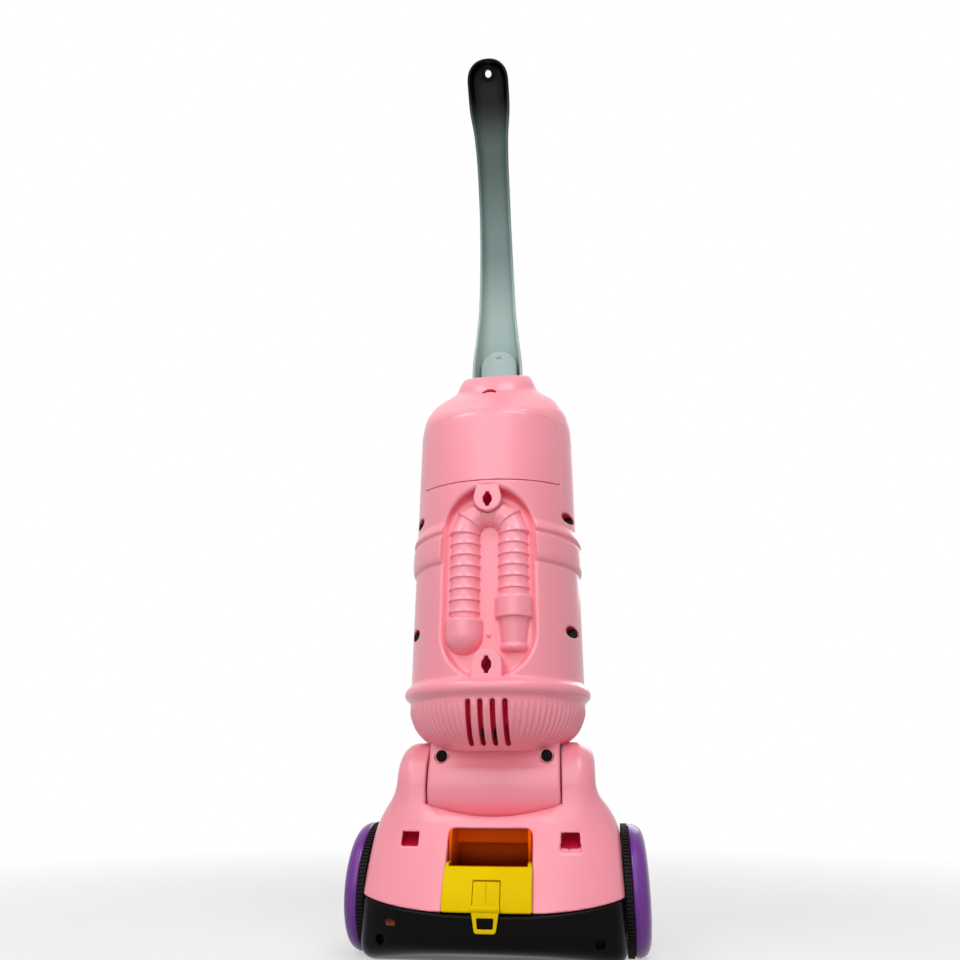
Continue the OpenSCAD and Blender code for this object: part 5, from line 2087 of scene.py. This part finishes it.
@dataclass
class Handle:
    """Back-open channel handle and the tongue in its foot. Sizes in millimetres."""

    foot_z: float = 354.6
    bend_z: float = 430.0
    bend_r: float = 330.0
    bend_deg: float = 39.0
    rim_y: float = -5.0
    half_w: float = 20.8
    wall: float = 2.2
    power: float = 2.667
    tip_r: float = 17.4
    hole_r: float = 2.6
    hole_in: float = 9.0
    tongue_half: float = 14.5
    tongue_top: float = 410.5
    tongue_y: float = 8.0
    tongue_t: float = 5.0

    AT = (0.0, 0.108, 0.196, 0.288, 0.44, 0.574, 0.71, 0.81, 0.851, 0.8825, 1.0)
    WIDTH = (1.0, 1.0, 0.886, 0.782, 0.718, 0.688, 0.693, 0.752, 0.84, 0.881, 0.885)
    DEPTH = (1.26, 1.22, 1.08, 0.98, 0.9, 0.88, 0.86, 0.84, 0.8, 0.78, 0.75)

    def __post_init__(self) -> None:
        """Works out smooth lines of width and depth along the handle."""
        self.length = self.bend_z - self.foot_z + self.bend_r * math.radians(self.bend_deg)
        self.t = np.linspace(0, 1, 241)
        self.wide = softened(spline(self.t, self.AT, self.WIDTH), 4.0) * self.half_w
        self.deep = self.wide * softened(spline(self.t, self.AT, self.DEPTH), 4.0)

    def along(self, y: Arr, z: Arr) -> tuple[Arr, Arr]:
        """Distance along the handle and depth behind its rim plane.

        Args:
            y: Y in millimetres.
            z: Z in millimetres.

        Returns:
            Distance along and depth.
        """
        cy = self.rim_y - self.bend_r
        turn = np.arctan2(z - self.bend_z, y - cy)
        straight = z < self.bend_z
        s = np.where(straight, z - self.foot_z, self.bend_z - self.foot_z + self.bend_r * turn)
        v = np.where(straight, y - self.rim_y, np.hypot(y - cy, z - self.bend_z) - self.bend_r)
        return s, v

    def skin(self, x: Arr, v: Arr, s: Arr, w: Arr, d: Arr, inset: float) -> Arr:
        """Outside of the channel, or its inside when set in by the wall.

        Args:
            x: X in millimetres.
            v: Depth behind the rim plane.
            s: Distance along the handle.
            w: Half width there.
            d: Depth there.
            inset: Distance that the surface is set in.

        Returns:
            The field.
        """
        ax, av = np.abs(x), np.maximum(v, 0.0)
        wide, deep = w - inset, np.maximum(d - inset, 0.6)
        g = ((ax / wide) ** self.power + (av / deep) ** self.power) ** (1 / self.power)
        r = self.tip_r
        over = np.hypot(np.maximum(s - self.length + r, 0), np.maximum(ax - w + r, 0)) - r + inset
        return soft_max((g - 1) * np.minimum(wide, deep), over, 5.0)

    def channel_form(self, x: Arr, y: Arr, z: Arr) -> Arr:
        """Channel with rounded rims, round tip and hang hole.

        Args:
            x: X in millimetres.
            y: Y in millimetres.
            z: Z in millimetres.

        Returns:
            The field.
        """
        s, v = self.along(y, z)
        w = np.interp(s / self.length, self.t, self.wide)
        d = np.interp(s / self.length, self.t, self.deep)
        past = np.clip((s - self.length + self.tip_r) / self.tip_r, 0.0, 1.0)
        d = d * np.sqrt(1 - 0.92 * past ** 2)
        form = carve(self.skin(x, v, s, w, d, 0.0), self.skin(x, v, s, w, d, self.wall), 0.8)
        form = soft_max(form, -v, 1.5)
        form = soft_max(form, -s, 0.8)
        hole = np.hypot(x, s - self.length + self.hole_in)
        pad = np.maximum(hole - 4.6, np.abs(v - d + 1.9) - 1.2)
        form = soft_min(form, pad, 1.2)
        return carve(form, hole - self.hole_r, 0.8)

    def tongue_form(self, x: Arr, y: Arr, z: Arr) -> Arr:
        """Round-topped tongue with a dimple.

        Args:
            x: X in millimetres.
            y: Y in millimetres.
            z: Z in millimetres.

        Returns:
            The field.
        """
        top = self.tongue_top - self.tongue_half
        plan = np.where(z > top, np.hypot(x, z - top), np.abs(x)) - self.tongue_half
        foot = np.maximum(np.abs(x) - 15.6, z - self.foot_z - 6.0)
        plan = np.maximum(np.minimum(plan, foot), self.foot_z - z)
        slab = np.abs(y - self.tongue_y) - self.tongue_t / 2
        form = soft_max(plan, slab, 2.0)
        dimple = np.sqrt(x * x + (y - self.tongue_y + self.tongue_t / 2 + 0.9) ** 2
                         + (z - self.tongue_top + 7.4) ** 2) - 2.2
        return carve(form, dimple, 0.6)

    def build(self, finishes: Finishes) -> None:
        """Moulds and dresses the pieces.

        Args:
            finishes: Finishes of the toy.
        """
        shell = Bench.moulded("handle_channel", self.channel_form, (-22, -80, 353.5), (22, 23, 645), 0.75)
        finishes.dress(shell, Slot.GREY, Body.UPRIGHT, "handle_shell")
        tongue = Bench.moulded("handle_tongue_plate", self.tongue_form, (-17, 4.5, 353), (17, 11.5, 412), 0.6)
        finishes.dress(tongue, Slot.GREY, Body.UPRIGHT, "handle_tongue")


# ---------------------------------------------------------------- the rest


@dataclass
class InnerPieces:
    """Frame nodes that keep their own shape."""

    # body_screws are dressed black as painted shade at the bottom of their bores
    nodes: tuple = (("battery_box", Slot.BLACK), ("batteries", Slot.CELL), ("battery_contacts", Slot.STEEL),
                    ("circuit_board", Slot.BOARD), ("speaker", Slot.BLACK), ("body_screws", Slot.BLACK),
                    ("hinge_pin", Slot.STEEL), ("head_screws", Slot.STEEL), ("axle", Slot.STEEL))

    def build(self, finishes: Finishes) -> None:
        """Dresses the nodes."""
        for node, slot in self.nodes:
            finishes.dress_node(node, slot)


@dataclass
class Studio:
    """Camera, soft lights, pale floor and background."""

    eye: Triple = (60.8, -481.2, 90.0)
    pitch: float = 23.0
    heading: float = 7.2
    lens: float = 27.0
    shift: float = -0.01875
    lamps: tuple = (((0.4, -0.62, 1.15), 0.5, 4.4), ((-0.6, -0.6, 1.1), 0.45, 3.6),
                    ((-0.05, -1.05, 0.6), 1.0, 5.8), ((0.3, 1.6, 1.2), 1.2, 11.0))
    aim: Triple = (0.0, 0.0, 0.25)
    room_light: float = 0.2
    bounce: float = 0.55

    def camera(self) -> None:
        """Sets the camera where the photograph was taken from."""
        data = bpy.data.cameras.new("camera")
        data.lens, data.sensor_width, data.shift_x, data.clip_start = self.lens, 36.0, self.shift, 0.01
        obj = bpy.data.objects.new("camera", data)
        obj.location = Bench.to_frame(np.array(self.eye))
        obj.rotation_euler = (math.radians(90 + self.pitch), 0, math.radians(self.heading))
        bpy.context.scene.collection.objects.link(obj)
        bpy.context.scene.camera = obj

    def lights(self) -> None:
        """Adds the soft boxes."""
        for n, (place, size, power) in enumerate(self.lamps):
            data = bpy.data.lights.new(f"soft_box_{n}", "AREA")
            data.size, data.energy = size, power
            obj = bpy.data.objects.new(data.name, data)
            obj.location = place
            obj.rotation_euler = (Vector(self.aim) - Vector(place)).to_track_quat("-Z", "Y").to_euler()
            bpy.context.scene.collection.objects.link(obj)

    def world(self) -> None:
        """White to the camera and to reflections, softer as light."""
        shade = Shader("studio_air", world=True)
        shade.put(shade.surface.inputs["Color"], (1.0, 1.0, 1.0, 1.0))
        shade.put(shade.surface.inputs["Strength"], self.room_light + shade.seen() * (1 - self.room_light))
        bpy.context.scene.world = shade.material

    def floor(self) -> None:
        """Pale floor that melts into the background and keeps the shadow."""
        s = 3.0
        mesh = bpy.data.meshes.new("studio_floor")
        mesh.from_pydata([(-s, -s, 0), (s, -s, 0), (s, s, 0), (-s, s, 0)], [], [(0, 1, 2, 3)])
        obj = bpy.data.objects.new("studio_floor", mesh)
        bpy.context.scene.collection.objects.link(obj)
        shade = Shader("pale_floor")
        grain, seen = shade.noise(30.0, 2.0), shade.seen()
        pale = shade.mix(grain, (0.9, 0.9, 0.9, 1), (0.94, 0.94, 0.94, 1))
        shade.put(shade.surface.inputs["Specular IOR Level"], 0.0)
        lit = shade.finish(Base_Color=shade.mix(seen, (self.bounce,) * 3 + (1,), pale), Roughness=0.9)
        glow = shade.node("ShaderNodeEmission", {}, {"Color": (1, 1, 1, 1), "Strength": 1.0})
        away = shade.node("ShaderNodeVectorMath", {"operation": "LENGTH"}, {0: shade.place()})
        part = seen * (0.5 + Value(shade, away.outputs["Value"]).between(0.2, 0.9) * 0.5)
        blend = shade.node("ShaderNodeMixShader", {},
                           {0: part, 1: shade.surface.outputs[0], 2: glow.outputs[0]})
        shade.links.new(blend.outputs[0], shade.nodes["Material Output"].inputs["Surface"])
        mesh.materials.append(lit)

    def build(self) -> None:
        """Sets up the whole studio."""
        bpy.context.scene.view_settings.view_transform = "Standard"
        self.camera()
        self.lights()
        self.world()
        self.floor()


def main() -> None:
    """Builds the toy piece by piece."""
    logging.basicConfig(level=logging.INFO, format="%(name)s: %(message)s")
    Studio().build()
    finishes = Finishes()
    copies = CopyTree("placed_copies")
    Upright().build(finishes)
    Hinge().build(finishes, copies)
    Head().build(finishes)
    Bin().build(finishes)
    Wheels().build(finishes)
    Handle().build(finishes)
    InnerPieces().build(finishes)


if __name__ == "__main__":
    main()
